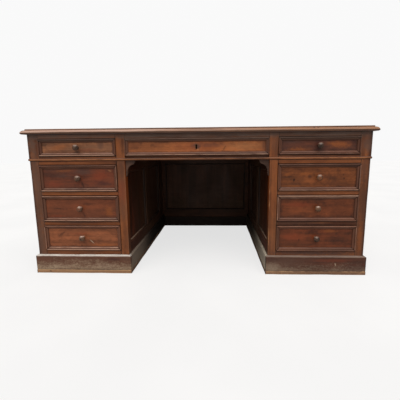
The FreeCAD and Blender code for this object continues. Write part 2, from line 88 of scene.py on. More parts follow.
def eased(corners, ease, band=0.004, steps=3):
    """Outline of a worked board: a polygon, given anticlockwise, whose corners are rounded.

    At each corner an arc of radius ease turns from the normal of one side to the normal of the next. One more
    point follows on each side, a band further on, where the wear of the corner has died out. Returns the
    points, their outward normals, and the wear: 1 on the arcs and 0 on the sides.
    """
    corners = np.asarray(corners, float)
    side = np.roll(corners, -1, 0) - corners
    length = np.linalg.norm(side, axis=1)
    ahead = side / length[:, None]
    normal = np.stack((ahead[:, 1], -ahead[:, 0]), 1)
    before = np.roll(normal, 1, 0)
    first = np.arctan2(before[:, 1], before[:, 0])
    bend = (np.arctan2(normal[:, 1], normal[:, 0]) - first) % (2 * np.pi)
    centre = corners - unit(normal + before) * (ease / np.cos(bend / 2))[:, None]
    angle = first[:, None] + bend[:, None] * np.linspace(0, 1, steps + 1)
    around = np.stack((np.cos(angle), np.sin(angle)), 2)
    room = np.minimum(length, np.roll(length, 1))
    reach = np.minimum(ease * np.tan(bend / 2) + band, 0.45 * room)[:, None]
    near, far = corners - np.roll(ahead, 1, 0) * reach, corners + ahead * reach
    points = np.concatenate((near[:, None], centre[:, None] + ease * around, far[:, None]), 1)
    normals = np.concatenate((before[:, None], around, normal[:, None]), 1)
    wear = np.ones(points.shape[:2])
    wear[:, [0, -1]] = 0
    return points.reshape(-1, 2), normals.reshape(-1, 2), wear.ravel()


def wandering(s):
    """Slow random wave along a length: three sines of falling height, each from a random phase."""
    waves = np.array((0.31, 0.13, 0.057))
    phase = rng.uniform(0, 2 * np.pi, 3)
    return (0.5 ** np.arange(3) * np.sin(2 * np.pi * np.asarray(s)[..., None] / waves + phase)).sum(-1)


def tube_faces(rings, count, turned_over=False):
    """Quads between closed rings of points, and one face over each end, as corner indices and face sizes."""
    spot = np.arange(rings * count).reshape(rings, count)
    after = np.roll(spot, -1, 1)
    quads = np.stack((spot[:-1], after[:-1], after[1:], spot[1:]), -1).reshape(-1, 4)
    ends = np.stack((spot[0, ::-1], spot[-1]))
    if turned_over:
        quads, ends = quads[:, ::-1], ends[:, ::-1]
    return np.concatenate((quads.ravel(), ends.ravel())), np.array([4] * len(quads) + [count] * 2)


def surface(grid, faces, grain, wear, tone):
    """Part of a piece: its points, its faces, and the grain, wear and tone that each point keeps."""
    return {
        "co": grid.reshape(-1, 3), "corners": faces[0], "sizes": faces[1], "grain": grain.reshape(-1, 3),
        "wear": wear.ravel(), "tone": np.full(grid.size // 3, tone),
    }


def carried(
    outline, origin, axes, length, mitred=False, dents=0.0, tone=0.5, end_ease=0.0006, end_wear=-1.0, rub=1.0
):
    """Bar made by carrying an outline along a straight line.

    A point is origin + s along + p, where p goes round the outline and s along the length. A plain end is
    drawn in by a quarter circle of radius end_ease. At a mitred end s starts later by the point's distance
    inwards. The worn corners sink by dents times a slow random wave. Each point also keeps its place in the
    wood (along, across and through the grain), its wear, which is end_wear at the ends and rub times as
    strong on the ridges, and the board's tone.
    """
    points, normals, wear = outline
    along, across, up = axes
    body = np.linspace(END_STEP, length - END_STEP, max(2, round(length / RING_STEP)))
    if mitred:
        s = np.concatenate(([0], body, [length]))
        inset, ends = np.zeros(len(s)), 1
        reach = points[:, 0] + s[:, None] / length * (length - 2 * points[:, 0])
    else:
        turn = np.linspace(np.pi / 2, 0, 4)
        lip, drawn_in = end_ease * (1 - np.sin(turn)), end_ease * (1 - np.cos(turn))
        s = np.concatenate((lip, body, length - lip[::-1]))
        inset, ends = np.concatenate((drawn_in, np.zeros(len(body)), drawn_in[::-1])), len(turn)
        reach = np.repeat(s[:, None], len(points), 1)
    sink = dents * np.clip(wear, 0, 1) * np.clip(wandering(s), 0, None)[:, None] + inset[:, None]
    flat = points - sink[..., None] * normals
    grid = origin + reach[..., None] * along + flat[..., :1] * across + flat[..., 1:] * up
    faces = tube_faces(*reach.shape, turned_over=np.dot(np.cross(across, up), along) < 0)
    grain = np.concatenate((reach[..., None], flat), -1) + rng.uniform(0, 9, 3)
    worn = np.tile(np.where(wear > 0, rub * wear, wear), (len(s), 1))
    worn[:ends] = worn[-ends:] = end_wear
    return surface(grid, faces, grain, worn, tone + rng.normal(0, TONE_SPREAD))


def mitred_ring(outline, origin, axes, width, depth, rubs=(1.0, 1.0, 1.0, 1.0), **how):
    """Four mitred bars round a rectangle: each side starts at a corner and its outline reaches inwards."""
    along, across, up = axes
    origin = np.asarray(origin, float)
    far = depth * across
    starts = [origin, origin + width * along, origin + width * along + far, origin + far]
    runs = [(along, across, up), (across, -along, up), (-along, -across, up), (-across, along, up)]
    sides = zip(starts, runs, (width, depth) * 2, rubs)
    return [carried(outline, *side, mitred=True, rub=rub, **how) for *side, rub in sides]


def fitted(name, parts, finish, nodes, body="carcase", crease=38):
    """One mesh object from several parts, in its finish, that rides on a body, with its nodes hidden.

    Edges that bend by more than crease degrees stay sharp.
    """
    joined = {label: np.concatenate([part[label] for part in parts]) for label in parts[0]}
    first = np.cumsum([0] + [len(part["co"]) for part in parts])
    corners = joined["corners"] + np.repeat(first[:-1], [len(part["corners"]) for part in parts])
    sizes = joined["sizes"]
    mesh = bpy.data.meshes.new(name)
    mesh.vertices.add(first[-1])
    mesh.vertices.foreach_set("co", joined["co"].ravel())
    mesh.loops.add(len(corners))
    mesh.loops.foreach_set("vertex_index", corners)
    mesh.polygons.add(len(sizes))
    mesh.polygons.foreach_set("loop_start", np.cumsum(sizes) - sizes)
    kinds = {"grain": ("FLOAT_VECTOR", "vector"), "wear": ("FLOAT", "value"), "tone": ("FLOAT", "value")}
    for label, (kind, field) in kinds.items():
        mesh.attributes.new(label, kind, "POINT").data.foreach_set(field, joined[label].ravel())
    mesh.update(calc_edges=True)
    mesh.shade_smooth()
    mesh.set_sharp_from_angle(angle=math.radians(crease))
    mesh.materials.append(finish)
    piece = bpy.data.objects.new(name, mesh)
    bpy.context.scene.collection.objects.link(piece)
    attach(piece, body)
    if nodes:
        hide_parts(*nodes)


def shade(card):
    """Colour as on a stain card, 0 to 255, in the linear values that a shader takes."""
    card = np.array(card) / 255
    return (*np.where(card <= 0.04045, card / 12.92, ((card + 0.055) / 1.055) ** 2.4), 1.0)


def add(tree, kind, inputs=None, **settings):
    """Puts a node in a tree. inputs gives each socket a number, a colour or the output of another node."""
    made = tree.nodes.new(kind)
    for key, value in settings.items():
        setattr(made, key, value)
    for key, value in (inputs or {}).items():
        if isinstance(value, bpy.types.NodeSocket):
            tree.links.new(value, made.inputs[key])
        else:
            made.inputs[key].default_value = value
    return made


def put(sockets, values):
    """Links outputs to sockets by name."""
    for label, value in values.items():
        value.id_data.links.new(value, sockets[label])


def sums(operation, *values, kind="ShaderNodeMath"):
    """Output of a Math node, in the tree that its inputs come from."""
    tree = next(value.id_data for value in values if isinstance(value, bpy.types.NodeSocket))
    return add(tree, kind, dict(enumerate(values)), operation=operation).outputs[0]


def times(one, two):
    """Product of two values."""
    return sums("MULTIPLY", one, two)


def scaled(value, factor, offset):
    """A value times a factor, plus an offset."""
    return sums("MULTIPLY_ADD", value, factor, offset)


def vectors(operation, *values):
    """Output of a Vector Math node."""
    return sums(operation, *values, kind="ShaderNodeVectorMath")


def axes_of(vector):
    """The three parts of a vector."""
    return add(vector.id_data, "ShaderNodeSeparateXYZ", {0: vector}).outputs


def blended(factor, one, two):
    """Output of a colour Mix node."""
    return add(factor.id_data, "ShaderNodeMix", {0: factor, 6: one, 7: two}, data_type="RGBA").outputs[2]


def laid(colour, mask, card):
    """Colour with a card colour laid over it by a mask."""
    return blended(mask, colour, shade(card))


def smooth(value, low, high, start=0.0, end=1.0):
    """Output of a smooth step of a value from low to high."""
    step = {0: value, 1: low, 2: high, 3: start, 4: end}
    return add(value.id_data, "ShaderNodeMapRange", step, interpolation_type="SMOOTHSTEP").outputs[0]


def speckle(place, stretch, detail=2.0, rough=0.5, bend=0.0):
    """Noise over a place that is stretched by a factor on each axis."""
    noise = {"Scale": 1.0, "Detail": detail, "Roughness": rough, "Distortion": bend}
    noise["Vector"] = vectors("MULTIPLY", place, stretch)
    return add(place.id_data, "ShaderNodeTexNoise", noise).outputs[0]


def group(**inputs):
    """Makes a shader node group of a rule that turns what the group is given into what it puts out."""

    def built(rule):
        tree = bpy.data.node_groups.new(rule.__name__, "ShaderNodeTree")
        kinds = {1: "NodeSocketFloat", 3: "NodeSocketVector", 4: "NodeSocketColor"}
        for label, default in inputs.items():
            kind = kinds[np.size(default)]
            tree.interface.new_socket(label, in_out="INPUT", socket_type=kind).default_value = default
        values = rule(tree, tree.nodes.new("NodeGroupInput").outputs)
        for label, value in values.items():
            tree.interface.new_socket(label, in_out="OUTPUT", socket_type=value.bl_idname)
        put(tree.nodes.new("NodeGroupOutput").inputs, values)
        return tree

    return built


@group(Grain=NOWHERE, Tone=0.5, Pale=GREY, Deep=GREY, Cloud=GREY, Cloudiness=0.5, Figure=1.6, Mottle=0.5)
def wood_figure(tree, given):
    """Grain of a sawn board: streaks and rings along it, mottling, soft clouds and short dark pores."""
    grain = given["Grain"]
    streak = speckle(grain, (1.3, 46.0, 46.0), 5.0, 0.62, 0.3)
    ring = sums("SINE", times(speckle(grain, (0.7, 5.0, 5.0)), 48.0))
    patch = speckle(grain, (4.5, 11.0, 11.0), 4.0, 0.6, 0.4)
    drift = speckle(grain, (2.1, 6.0, 6.0), 3.0, 0.55, 0.8)
    pore = smooth(speckle(grain, (55.0, 900.0, 900.0)), 0.60, 0.72)
    mottle = speckle(grain, (26.0, 44.0, 44.0), 5.0, 0.66, 0.8)
    figure = sums("SUBTRACT", sums("ADD", streak, patch), 1.0)
    light = scaled(ring, 0.10, scaled(figure, given["Figure"], given["Tone"]))
    light = scaled(sums("SUBTRACT", mottle, 0.5), given["Mottle"], light)
    light = add(tree, "ShaderNodeClamp", {0: light}).outputs[0]
    colour = blended(light, given["Deep"], given["Pale"])
    colour = blended(times(smooth(drift, 0.46, 0.64), given["Cloudiness"]), colour, given["Cloud"])
    colour = blended(times(pore, 0.35), colour, PORE)
    height = scaled(patch, 0.8, scaled(streak, 0.45, times(pore, -0.5)))
    return {"Colour": colour, "Height": height, "Dullness": scaled(pore, 0.2, drift)}


@group(Colour=GREY, Wear=0.0, Grain=NOWHERE, Rubbed=GREY, Dirt=GREY, Amount=0.6)
def rubbed_edges(tree, given):
    """Wear along corners and ridges: rubbed pale in ragged patches where wear is over 0, dirty below 0."""
    wear, ragged = given["Wear"], speckle(given["Grain"], (22.0, 160.0, 160.0), 4.0, 0.65)
    rubbing = times(smooth(times(wear, scaled(ragged, 2.0, -0.3)), 0.12, 0.95), given["Amount"])
    dirty = smooth(times(wear, -1.0), 0.15, 0.95, 0.0, 0.85)
    colour = blended(rubbing, given["Colour"], given["Rubbed"])
    return {"Colour": blended(dirty, colour, given["Dirt"])}


def grouped(tree, effect, inputs):
    """Outputs of a node group that is placed in a material."""
    return add(tree, "ShaderNodeGroup", inputs, node_tree=effect).outputs


def figured(grain, look, tone=0.5, cloudiness=0.5, **more):
    """Figure of wood over a grain, in the pale, deep and cloud colours of a look."""
    pale, deep, cloud = (shade(card) for card in look[:3])
    colours = {"Pale": pale, "Deep": deep, "Cloud": cloud, "Cloudiness": cloudiness}
    return grouped(grain.id_data, wood_figure, {"Grain": grain, "Tone": tone, **colours, **more})


def read(tree, label):
    """Node that reads what each point of a piece keeps under a name."""
    return add(tree, "ShaderNodeAttribute", attribute_name=label, attribute_type="GEOMETRY").outputs


def new_finish(name):
    """Empty material and its tree."""
    finish = bpy.data.materials.new(name)
    finish.use_nodes = True
    return finish, finish.node_tree


def dulled(wood, rough):
    """Roughness between two values, as the figure of the wood has it."""
    return smooth(wood["Dullness"], 0.2, 0.8, *rough)


def finished(finish, colour, dullness, height, bump=0.0004, dress=None):
    """Joins colour, roughness and relief to the shader of a material. dress may lay more over the colour."""
    tree = finish.node_tree
    shader = tree.nodes["Principled BSDF"].inputs
    if dress:
        colour, dullness = dress(tree, colour, dullness)
    relief = add(tree, "ShaderNodeBump", {"Height": height, "Distance": bump, "Strength": 0.7}).outputs[0]
    put(shader, {"Base Color": colour, "Roughness": dullness, "Normal": relief})
    shader["Specular IOR Level"].default_value = 0.3
    return finish


def board_finish(name, look, cloudiness=0.5, amount=0.6, rough=(0.30, 0.62), dress=None, figure=1.6):
    """Finish of boards that keep grain and wear. A look is pale, deep, cloud, rubbed and dirt colour."""
    finish, tree = new_finish(name)
    grain = read(tree, "grain")["Vector"]
    wood = figured(grain, look, read(tree, "tone")["Fac"], cloudiness, Figure=figure)
    edges = grouped(tree, rubbed_edges, {
        "Colour": wood["Colour"], "Wear": read(tree, "wear")["Fac"], "Grain": grain, "Rubbed": shade(look[3]),
        "Dirt": shade(look[4]), "Amount": amount,
    })
    return finished(finish, edges["Colour"], dulled(wood, rough), wood["Height"], dress=dress)


def object_place(tree):
    """Object coordinates."""
    return add(tree, "ShaderNodeTexCoord").outputs["Object"]


@group(Place=NOWHERE, Centre=NOWHERE, Half=(0.02, 1.0, 0.01), Lean=0.0, Noise=0.5, Strength=0.5)
def stain(tree, given):
    """Soft spot on a face that looks forward: 1 inside a leaning oval, 0 outside, ragged by a noise."""
    leaning = {"Vector": vectors("SUBTRACT", given["Place"], given["Centre"]), "Angle": given["Lean"]}
    off = add(tree, "ShaderNodeVectorRotate", leaning, rotation_type="Y_AXIS").outputs[0]
    share = vectors("DIVIDE", off, given["Half"])
    far = add(tree, "ShaderNodeVectorMath", {0: share}, operation="LENGTH").outputs["Value"]
    far = sums("ADD", far, scaled(given["Noise"], 1.8, -0.9))
    return {"Mask": times(smooth(far, 0.15, 1.2, 1.0, 0.0), given["Strength"])}


def stained(colour, marks):
    """Colour with marks over it, each a name, x, z, half width and half height in mm, lean and strength."""
    tree = colour.id_data
    place = object_place(tree)
    noise = speckle(place, (60.0, 60.0, 85.0), 5.0, 0.65)
    for name, x, z, wide, high, lean, strength in marks:
        spot = grouped(tree, stain, {
            "Place": place, "Centre": (x / 1000, 0.0, z / 1000), "Half": (wide / 1000, 1000.0, high / 1000),
            "Lean": math.radians(lean), "Noise": noise, "Strength": strength,
        })
        colour = laid(colour, spot["Mask"], STAIN_COLOURS[name])
    return colour


def strip_dress(tree, colour, dullness):
    """Dress of the base strips: a knot, and dirt that runs down from the plinth."""
    return stained(colour, STRIP_MARKS), dullness


strips_low, strips_high = box_of("base_shoes")
plinth_low, plinth_high = box_of("right_plinth")
strip_outline = eased(oblong(STRIP_WIDE, strips_high[2]), STRIP_EASE)
strip_proud = strips_high[0] - plinth_high[0]
strip_width = plinth_high[0] - plinth_low[0] + 2 * strip_proud
strip_depth = strips_high[1] - strips_low[1]
strips = []
for left in (strips_low[0], plinth_low[0] - strip_proud):
    start = (left, strips_low[1], 0)
    strips += mitred_ring(strip_outline, start, (X, Y, Z), strip_width, strip_depth, dents=STRIP_DENTS)
pale_wood = board_finish("bare_pale_wood", PALE_WOOD, 0.45, amount=0.5, rough=(0.6, 0.85), dress=strip_dress)
fitted("base_strips", strips, pale_wood, ["base_shoes"])

# Plinths. A walnut board on edge round the foot of each pedestal, chamfered along the top and mitred at the
# corners. Mop and shoes have dulled it, and pale dust clings to its lower half and to the chamfer.

PLINTH_EASE = 0.0016
PLINTH_CHAMFER = 0.007
PLINTH_DENTS = 0.0009
PLINTH_LOOKS = {
    "left": ((118, 76, 57), (86, 55, 42), (96, 70, 55), (206, 192, 180), (40, 30, 24)),
    "right": ((108, 64, 47), (76, 46, 35), (86, 60, 47), (124, 98, 82), (40, 30, 24)),
}
PLINTH_MARKS = {
    "left": [
        ("plum", -450, 80, 50, 14, 0, 0.5), ("dust", -500, 40, 80, 18, 0, 0.2),
        ("dust", -730, 36, 90, 14, 0, 0.15), ("dark", -610, 22, 330, 5, 0, 0.5),
    ],
    "right": [
        ("dust", 713, 57, 4, 9, 15, 0.6), ("red", 700, 78, 110, 12, 0, 0.35),
        ("plum", 810, 36, 90, 34, 0, 0.45), ("film", 430, 66, 170, 40, 0, 0.4),
        ("dark", 610, 22, 330, 5, 0, 0.4), ("dust", 385, 40, 60, 30, 0, 0.25),
    ],
}
PLINTH_DUST = {
    "left": (0.072, 0.84, (176, 152, 125), (216, 209, 201)),
    "right": (0.058, 0.55, (160, 142, 120), (150, 134, 122)),
}
# Kneehole side of each plinth: a pale colour, dust on the left and mostly painted light on the right, and how
# far in painted shade begins and ends.
INNER_DUST_AND_LIGHT = {"left": ((131, 115, 100), 0.12, 0.48), "right": ((217, 205, 183), -0.10, 0.55)}
PLINTH_DEPTH_SHADE = (30, 23, 18)
KNEE_FADE = (0.001, 0.006)
MOUTH_FADE = (-0.010, 0.015)
DUST = (176, 150, 118)
SETTLED_DUST = (204, 186, 170)


def facing(tree):
    """The way a face looks, as its three parts."""
    return axes_of(add(tree, "ShaderNodeNewGeometry").outputs["Normal"])


@group(Colour=GREY, Place=NOWHERE, Dust=GREY, Settled=GREY, Top=0.07, Amount=0.6)
def clinging_dust(tree, given):
    """Dust that clings low down and on faces that look up, in smears that run along the floor."""
    place, amount = given["Place"], given["Amount"]
    smear = speckle(place, (14.0, 14.0, 46.0), 6.0, 0.68, 0.6)
    fine = speckle(place, (130.0, 130.0, 170.0), 4.0, 0.75)
    low = sums("SUBTRACT", 0.95, sums("DIVIDE", axes_of(place)[2], given["Top"]))
    low = sums("ADD", sums("ADD", low, scaled(smear, 1.8, -0.9)), scaled(fine, 2.0, -1.0))
    low = times(smooth(low, -0.2, 1.0), amount)
    flat = times(smooth(facing(tree)[2], 0.35, 0.9), scaled(smear, 1.2, 0.35))
    flat = sums("MINIMUM", times(flat, amount), 1.0)
    colour = blended(low, given["Colour"], given["Dust"])
    return {"Colour": blended(flat, colour, given["Settled"]), "Mask": sums("MAXIMUM", low, flat)}


def dusted(tree, colour, dullness, top, amount, dust=DUST, settled=SETTLED_DUST):
    """Dress that lays dust over a colour and dulls it there."""
    dirty = grouped(tree, clinging_dust, {
        "Colour": colour, "Place": object_place(tree), "Dust": shade(dust), "Settled": shade(settled),
        "Top": top, "Amount": amount,
    })
    return dirty["Colour"], scaled(dirty["Mask"], 0.35, dullness)


def plinth_dress(tree, colour, dullness, side):
    """Dress of a plinth: its dust, a pale kneehole side that is dust and painted light, painted shade further
    into the kneehole, and the scuffs and nicks that the mop left.
    """
    inner_dust_and_light, shade_from, shade_to = INNER_DUST_AND_LIGHT[side]
    colour, dullness = dusted(tree, colour, dullness, *PLINTH_DUST[side])
    across, deep, _ = axes_of(object_place(tree))
    inside = smooth(sums("ABSOLUTE", across), knee + KNEE_FADE[0], knee + KNEE_FADE[1], 0.95, 0.0)
    inside = times(inside, smooth(deep, front + MOUTH_FADE[0], front + MOUTH_FADE[1]))
    # Painted shade darkens the kneehole side of the plinth further in.
    depth_shade = times(inside, smooth(deep, front + shade_from, front + shade_to))
    colour = laid(laid(colour, inside, inner_dust_and_light), depth_shade, PLINTH_DEPTH_SHADE)
    return stained(colour, PLINTH_MARKS[side]), dullness


pedestal_low, pedestal_high = box_of("right_pedestal_front")
knee, pedestal_half = pedestal_low[0], pedestal_high[0]
front, back = pedestal_low[1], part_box("pedestal_backs")[1][1]
proud, foot, top = plinth_high[0] - pedestal_half, plinth_low[2], plinth_high[2]
plinth_outline = eased([(-proud, foot), (0, foot), (0, top), (-proud, top - PLINTH_CHAMFER)], PLINTH_EASE)
for side, left in (("left", -pedestal_half), ("right", knee)):
    width, depth = pedestal_half - knee, back - front
    boards = mitred_ring(plinth_outline, (left, front, 0), (X, Y, Z), width, depth, dents=PLINTH_DENTS)
    look, dress = PLINTH_LOOKS[side], partial(plinth_dress, side=side)
    plinth_walnut = board_finish(f"{side}_plinth_walnut", look, amount=0.75, rough=(0.42, 0.68), dress=dress)
    fitted(f"{side}_plinth_boards", boards, plinth_walnut, [f"{side}_plinth"])

# Pedestal fronts. Two walnut posts, and between them a rail above and below each drawer, tenoned into the
# posts. The polish is old: the arrises are rubbed pale and the joints have filled with dirt.

INNER_POST = 0.040
OUTER_POST = 0.043
FRONT_GAP = 0.0012
ARRIS = 0.0014
POST_DENTS = 0.0006
RAIL_DENTS = 0.0004
JOINT_DIRT = (28, 16, 11)
WALNUT = ((152, 88, 48), (86, 46, 26), (94, 65, 50), (158, 112, 80), JOINT_DIRT)
WALNUT_UNDER_TOP_GREY = (121, 101, 90)
UNDER_TOP_GREY_FOOT = 0.700
UNDER_TOP_GREY_TOP = 0.724
POST_MARKS = [
    ("orange", -839, 631, 12, 18, 0, 0.6), ("orange", -848, 687, 10, 14, 0, 0.5),
    ("orange", 829, 695, 9, 20, 0, 0.25), ("orange", -397, 672, 12, 60, 0, 0.5),
    ("dark", -370, 672, 9, 60, 0, 0.5), ("film", -832, 470, 34, 260, 0, 0.6),
    ("film", -840, 690, 30, 60, 0, 0.7), ("film", -835, 190, 34, 150, 0, 0.5),
    # The dark mark at x 610, z 262 is a painted shadow on the rail between the middle and lower right
    # drawers.
    ("orange", 832, 200, 14, 150, 0, 0.5), ("dark", 610, 262, 240, 13, 0, 0.9),
    # The tan marks at x 369 are a painted highlight along the arris of the right inner post.
    ("grey", 610, 113, 260, 14, 0, 0.9), ("dark", 620, 117, 250, 9, 0, 0.4), ("tan", 369, 205, 3, 60, 0, 0.5),
    ("tan", 369, 372, 3, 24, 0, 0.6), ("tan", 369, 440, 3, 14, 0, 0.5), ("film", 384, 680, 26, 50, 0, 0.2),
    ("film", 835, 668, 30, 40, 0, 0.65), ("grey", 832, 545, 30, 75, 0, 0.5),
    ("dark", 834, 425, 34, 130, 0, 0.5), ("dark", -832, 560, 30, 60, 0, 0.15),
    ("dark", -390, 555, 30, 80, 0, 0.3), ("red", -390, 440, 30, 80, 0, 0.45),
    ("dark", 392, 560, 28, 60, 0, 0.15), ("tan", 392, 260, 28, 110, 0, 0.08),
    ("grey", 838, 690, 32, 50, 0, 0.45),
]
# Painted shade: the front faces darken towards the outer edges of the pedestals and frieze.
OUTER_EDGE_SHADE = (54, 31, 24)
OUTER_EDGE_SHADE_FADE = (0.016, 0.005)
# Painted light on the kneehole sides of the inner posts: orange, dimmer towards the foot.
LIT_CHEEK_FADE = (0.001, 0.003)
LIT_CHEEK = (142, 70, 28)
LIT_CHEEK_FOOT = (80, 40, 17)
LIT_CHEEK_RISE = (0.16, 0.44)
RAIL_RUB = -0.9
POST_TONES = {"left": (0.66, 0.34), "right": (0.74, 0.56)}
# Tones of the rails, bottom to top; the 0.0 on the right is painted shade on the rail between the middle and
# lower drawers.
RAIL_TONES_AND_SHADE = {"left": (0.55, 0.6, 0.9, 0.6), "right": (0.5, 0.0, 0.85, 0.7)}
LEVELS = ("lower", "middle", "upper")
SIDES = (("left", -1), ("right", 1))


def board(x, y, z, grain, ease=ARRIS, **how):
    """Squared board between two values on each axis, with its grain along one axis and its arrises eased."""
    spans = np.sort(np.array((x, y, z), float), 1)
    size = spans[:, 1] - spans[:, 0]
    run, *sides = order = np.roll(np.arange(3), -"xyz".index(grain))
    return carried(eased(oblong(*size[sides]), ease), spans[:, 0], np.eye(3)[order], size[run], **how)


def post_dress(tree, colour, dullness):
    """Dress of posts and rails: grey under the top, painted shade at outer edges, painted light on cheeks, a
    few patches.
    """
    place, look = object_place(tree), facing(tree)
    across, _, height = axes_of(place)
    aside = sums("ABSOLUTE", across)
    patchy = smooth(speckle(place, (9.0, 9.0, 30.0), 4.0, 0.6), 0.3, 0.6, 0.35, 0.8)
    colour = laid(colour, times(smooth(height, UNDER_TOP_GREY_FOOT, UNDER_TOP_GREY_TOP), patchy), WALNUT_UNDER_TOP_GREY)
    # Painted shade towards the outer edges of the front faces.
    edge = smooth(aside, pedestal_half - OUTER_EDGE_SHADE_FADE[0], pedestal_half - OUTER_EDGE_SHADE_FADE[1], 0.0, 0.65)
    colour = laid(colour, times(edge, smooth(times(look[1], -1.0), 0.2, 0.7)), OUTER_EDGE_SHADE)
    # Painted light: the kneehole sides of the inner posts turn orange, dimmer towards the foot.
    lit_cheek = smooth(aside, knee + LIT_CHEEK_FADE[0], knee + LIT_CHEEK_FADE[1], 0.85, 0.0)
    lit_cheek = times(lit_cheek, smooth(sums("ABSOLUTE", look[0]), 0.5, 0.9))
    cheek_light = blended(smooth(height, *LIT_CHEEK_RISE), shade(LIT_CHEEK_FOOT), shade(LIT_CHEEK))
    return stained(blended(lit_cheek, colour, cheek_light), POST_MARKS), dullness


polished_walnut = board_finish("polished_walnut", WALNUT, 0.45, amount=0.45, dress=post_dress, figure=2.0)
deep = (front, pedestal_high[1])
tall = (pedestal_low[2], pedestal_high[2])
heights = [[corner[2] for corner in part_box(f"right_{level}_drawer_front")] for level in LEVELS]
bay_edges = [edge for low, high in heights for edge in (low - FRONT_GAP, high + FRONT_GAP)]
rail_edges = [tall[0], *bay_edges, tall[1]]
drawer_bay = np.array((knee + INNER_POST, pedestal_half - OUTER_POST))
posts = np.array(((knee, drawer_bay[0]), (drawer_bay[1], pedestal_half)))
for side, sign in SIDES:
    members = [
        board(sign * span, deep, tall, "z", dents=POST_DENTS, tone=tone)
        for span, tone in zip(posts, POST_TONES[side])
    ]
    members += [
        board(sign * drawer_bay, deep, span, "x", dents=RAIL_DENTS, tone=tone, rub=RAIL_RUB)
        for *span, tone in zip(rail_edges[::2], rail_edges[1::2], RAIL_TONES_AND_SHADE[side])
    ]
    fitted(f"{side}_posts_and_rails", members, polished_walnut, [f"{side}_pedestal_front"])

# Pedestal sides and backs. Frame-and-panel walls in walnut: stiles, rails and a muntin, with thin panels let
# into the back of the frame and a small bead round each. The walls of the kneehole carry painted shade: they
# are coloured almost black, red at the mouth and a greyer brown at the back.

WALL_THICK = 0.022
PANEL_BACK = 0.008
PANEL_EASE = 0.0004
SIDE_RAIL_LOW = 0.139
SIDE_RAIL_HIGH = 0.060
SIDE_MUNTIN = 0.050
SIDE_REAR_STILE = 0.131
BACK_STILE = 0.060
BEAD = 0.010
BEAD_BULGE = 0.002
# How pale each panel bead strip is rubbed; the high value on the lower strip is mostly a painted highlight.
BEAD_RUBS_AND_HIGHLIGHT = (1.8, 0.1, 0.05, 0.1)
RAIL_TONE, PANEL_TONE, BEAD_TONE = 0.45, 0.55, 0.35
INNER_RUB = 0.45
SIDE_WALNUT = ((146, 86, 50), (80, 45, 28), *WALNUT[2:])
# Painted shade: the kneehole walls take these near-black colours in place of the shade inside the kneehole.
KNEEHOLE_SHADED = ((98, 45, 23), (44, 23, 13), (50, 33, 22), (168, 142, 122), (10, 6, 4))
# Colours that the painted shade of the walls and of their beads turns to towards the back.
KNEEHOLE_DEPTH_SHADE = {"shaded_kneehole_walnut": (84, 58, 41), "shaded_kneehole_bead_walnut": (50, 36, 27)}
DEPTH_SHADE_FROM = 0.02
DEPTH_SHADE_SHORT = 0.15


def arc(start, end, bulge, count):
    """Points on a circular arc from start to end whose middle stands bulge to the left of the chord."""
    start, end = np.asarray(start, float), np.asarray(end, float)
    chord = end - start
    half = np.linalg.norm(chord) / 2
    left = np.array((-chord[1], chord[0])) / (2 * half)
    radius = (half**2 + bulge**2) / (2 * bulge)
    centre = (start + end) / 2 + left * (bulge - radius)
    swing = math.asin(min(1.0, half / abs(radius)))
    angle = np.linspace(-swing, swing, count)[:, None]
    turned = np.cos(angle) * left * np.sign(radius) + np.sin(angle) * chord / (2 * half)
    return centre + abs(radius) * turned


def shaped(points, wear):
    """Outline from points that already follow a curve: its normals halve the angle between the sides."""
    points = np.asarray(points, float)
    ahead = unit(np.roll(points, -1, 0) - points)
    middle = unit(ahead + np.roll(ahead, 1, 0))
    return points, np.stack((middle[:, 1], -middle[:, 0]), 1), np.asarray(wear, float)


ovolo = arc((BEAD, 0), (0, BEAD), -BEAD_BULGE, 7)
bead_outline = shaped(np.concatenate(([(0.0, 0.0)], ovolo)), [-0.5, -0.6, 0.2, 0.6, 0.8, 0.6, 0.2, -0.6])
wall = (pedestal_high[1], back - WALL_THICK)
bay = (wall[1] - wall[0] - SIDE_MUNTIN - SIDE_REAR_STILE) / 2
bays = [(wall[0], wall[0] + bay), (wall[0] + bay + SIDE_MUNTIN, wall[1] - SIDE_REAR_STILE)]
sill, head = tall[0] + SIDE_RAIL_LOW, tall[1] - SIDE_RAIL_HIGH
panel_high, rails_high = (sill, head), ((tall[0], sill), (head, tall[1]))


def side_wall(face, inward, rub=1.0):
    """Frame, panels and beads of a wall that looks along X from its face; inward is the way to its back."""
    thick = (face, face + inward * WALL_THICK)
    set_in = (face + inward * (WALL_THICK - PANEL_BACK), thick[1])
    run = (bays[0][0], bays[1][1])
    framing = [board(thick, run, high, "y", tone=RAIL_TONE, rub=rub) for high in rails_high]
    framing.append(board(thick, (run[1], wall[1]), tall, "z", rub=rub))
    framing.append(board(thick, (bays[0][1], bays[1][0]), panel_high, "z", rub=rub))
    filling = [board(set_in, span, panel_high, "z", ease=PANEL_EASE, tone=PANEL_TONE) for span in bays]
    beads = []
    for near, far in bays:
        start, along = (near, Y) if inward < 0 else (far, -Y)
        frame_at, axes = (set_in[0], start, sill), (along, Z, -inward * X)
        beads += mitred_ring(bead_outline, frame_at, axes, far - near, head - sill, BEAD_RUBS_AND_HIGHLIGHT, tone=BEAD_TONE)
    return framing, filling, beads


def shaded_with_depth(tree, colour, dullness, depth_shade):
    """Dress of the kneehole walls: their painted shade turns from red at the mouth to a greyer brown at the
    back.
    """
    depth = smooth(axes_of(object_place(tree))[1], front + DEPTH_SHADE_FROM, back - DEPTH_SHADE_SHORT)
    return laid(colour, smooth(depth, 0.0, 0.5, 0.0, 0.85), depth_shade), dullness


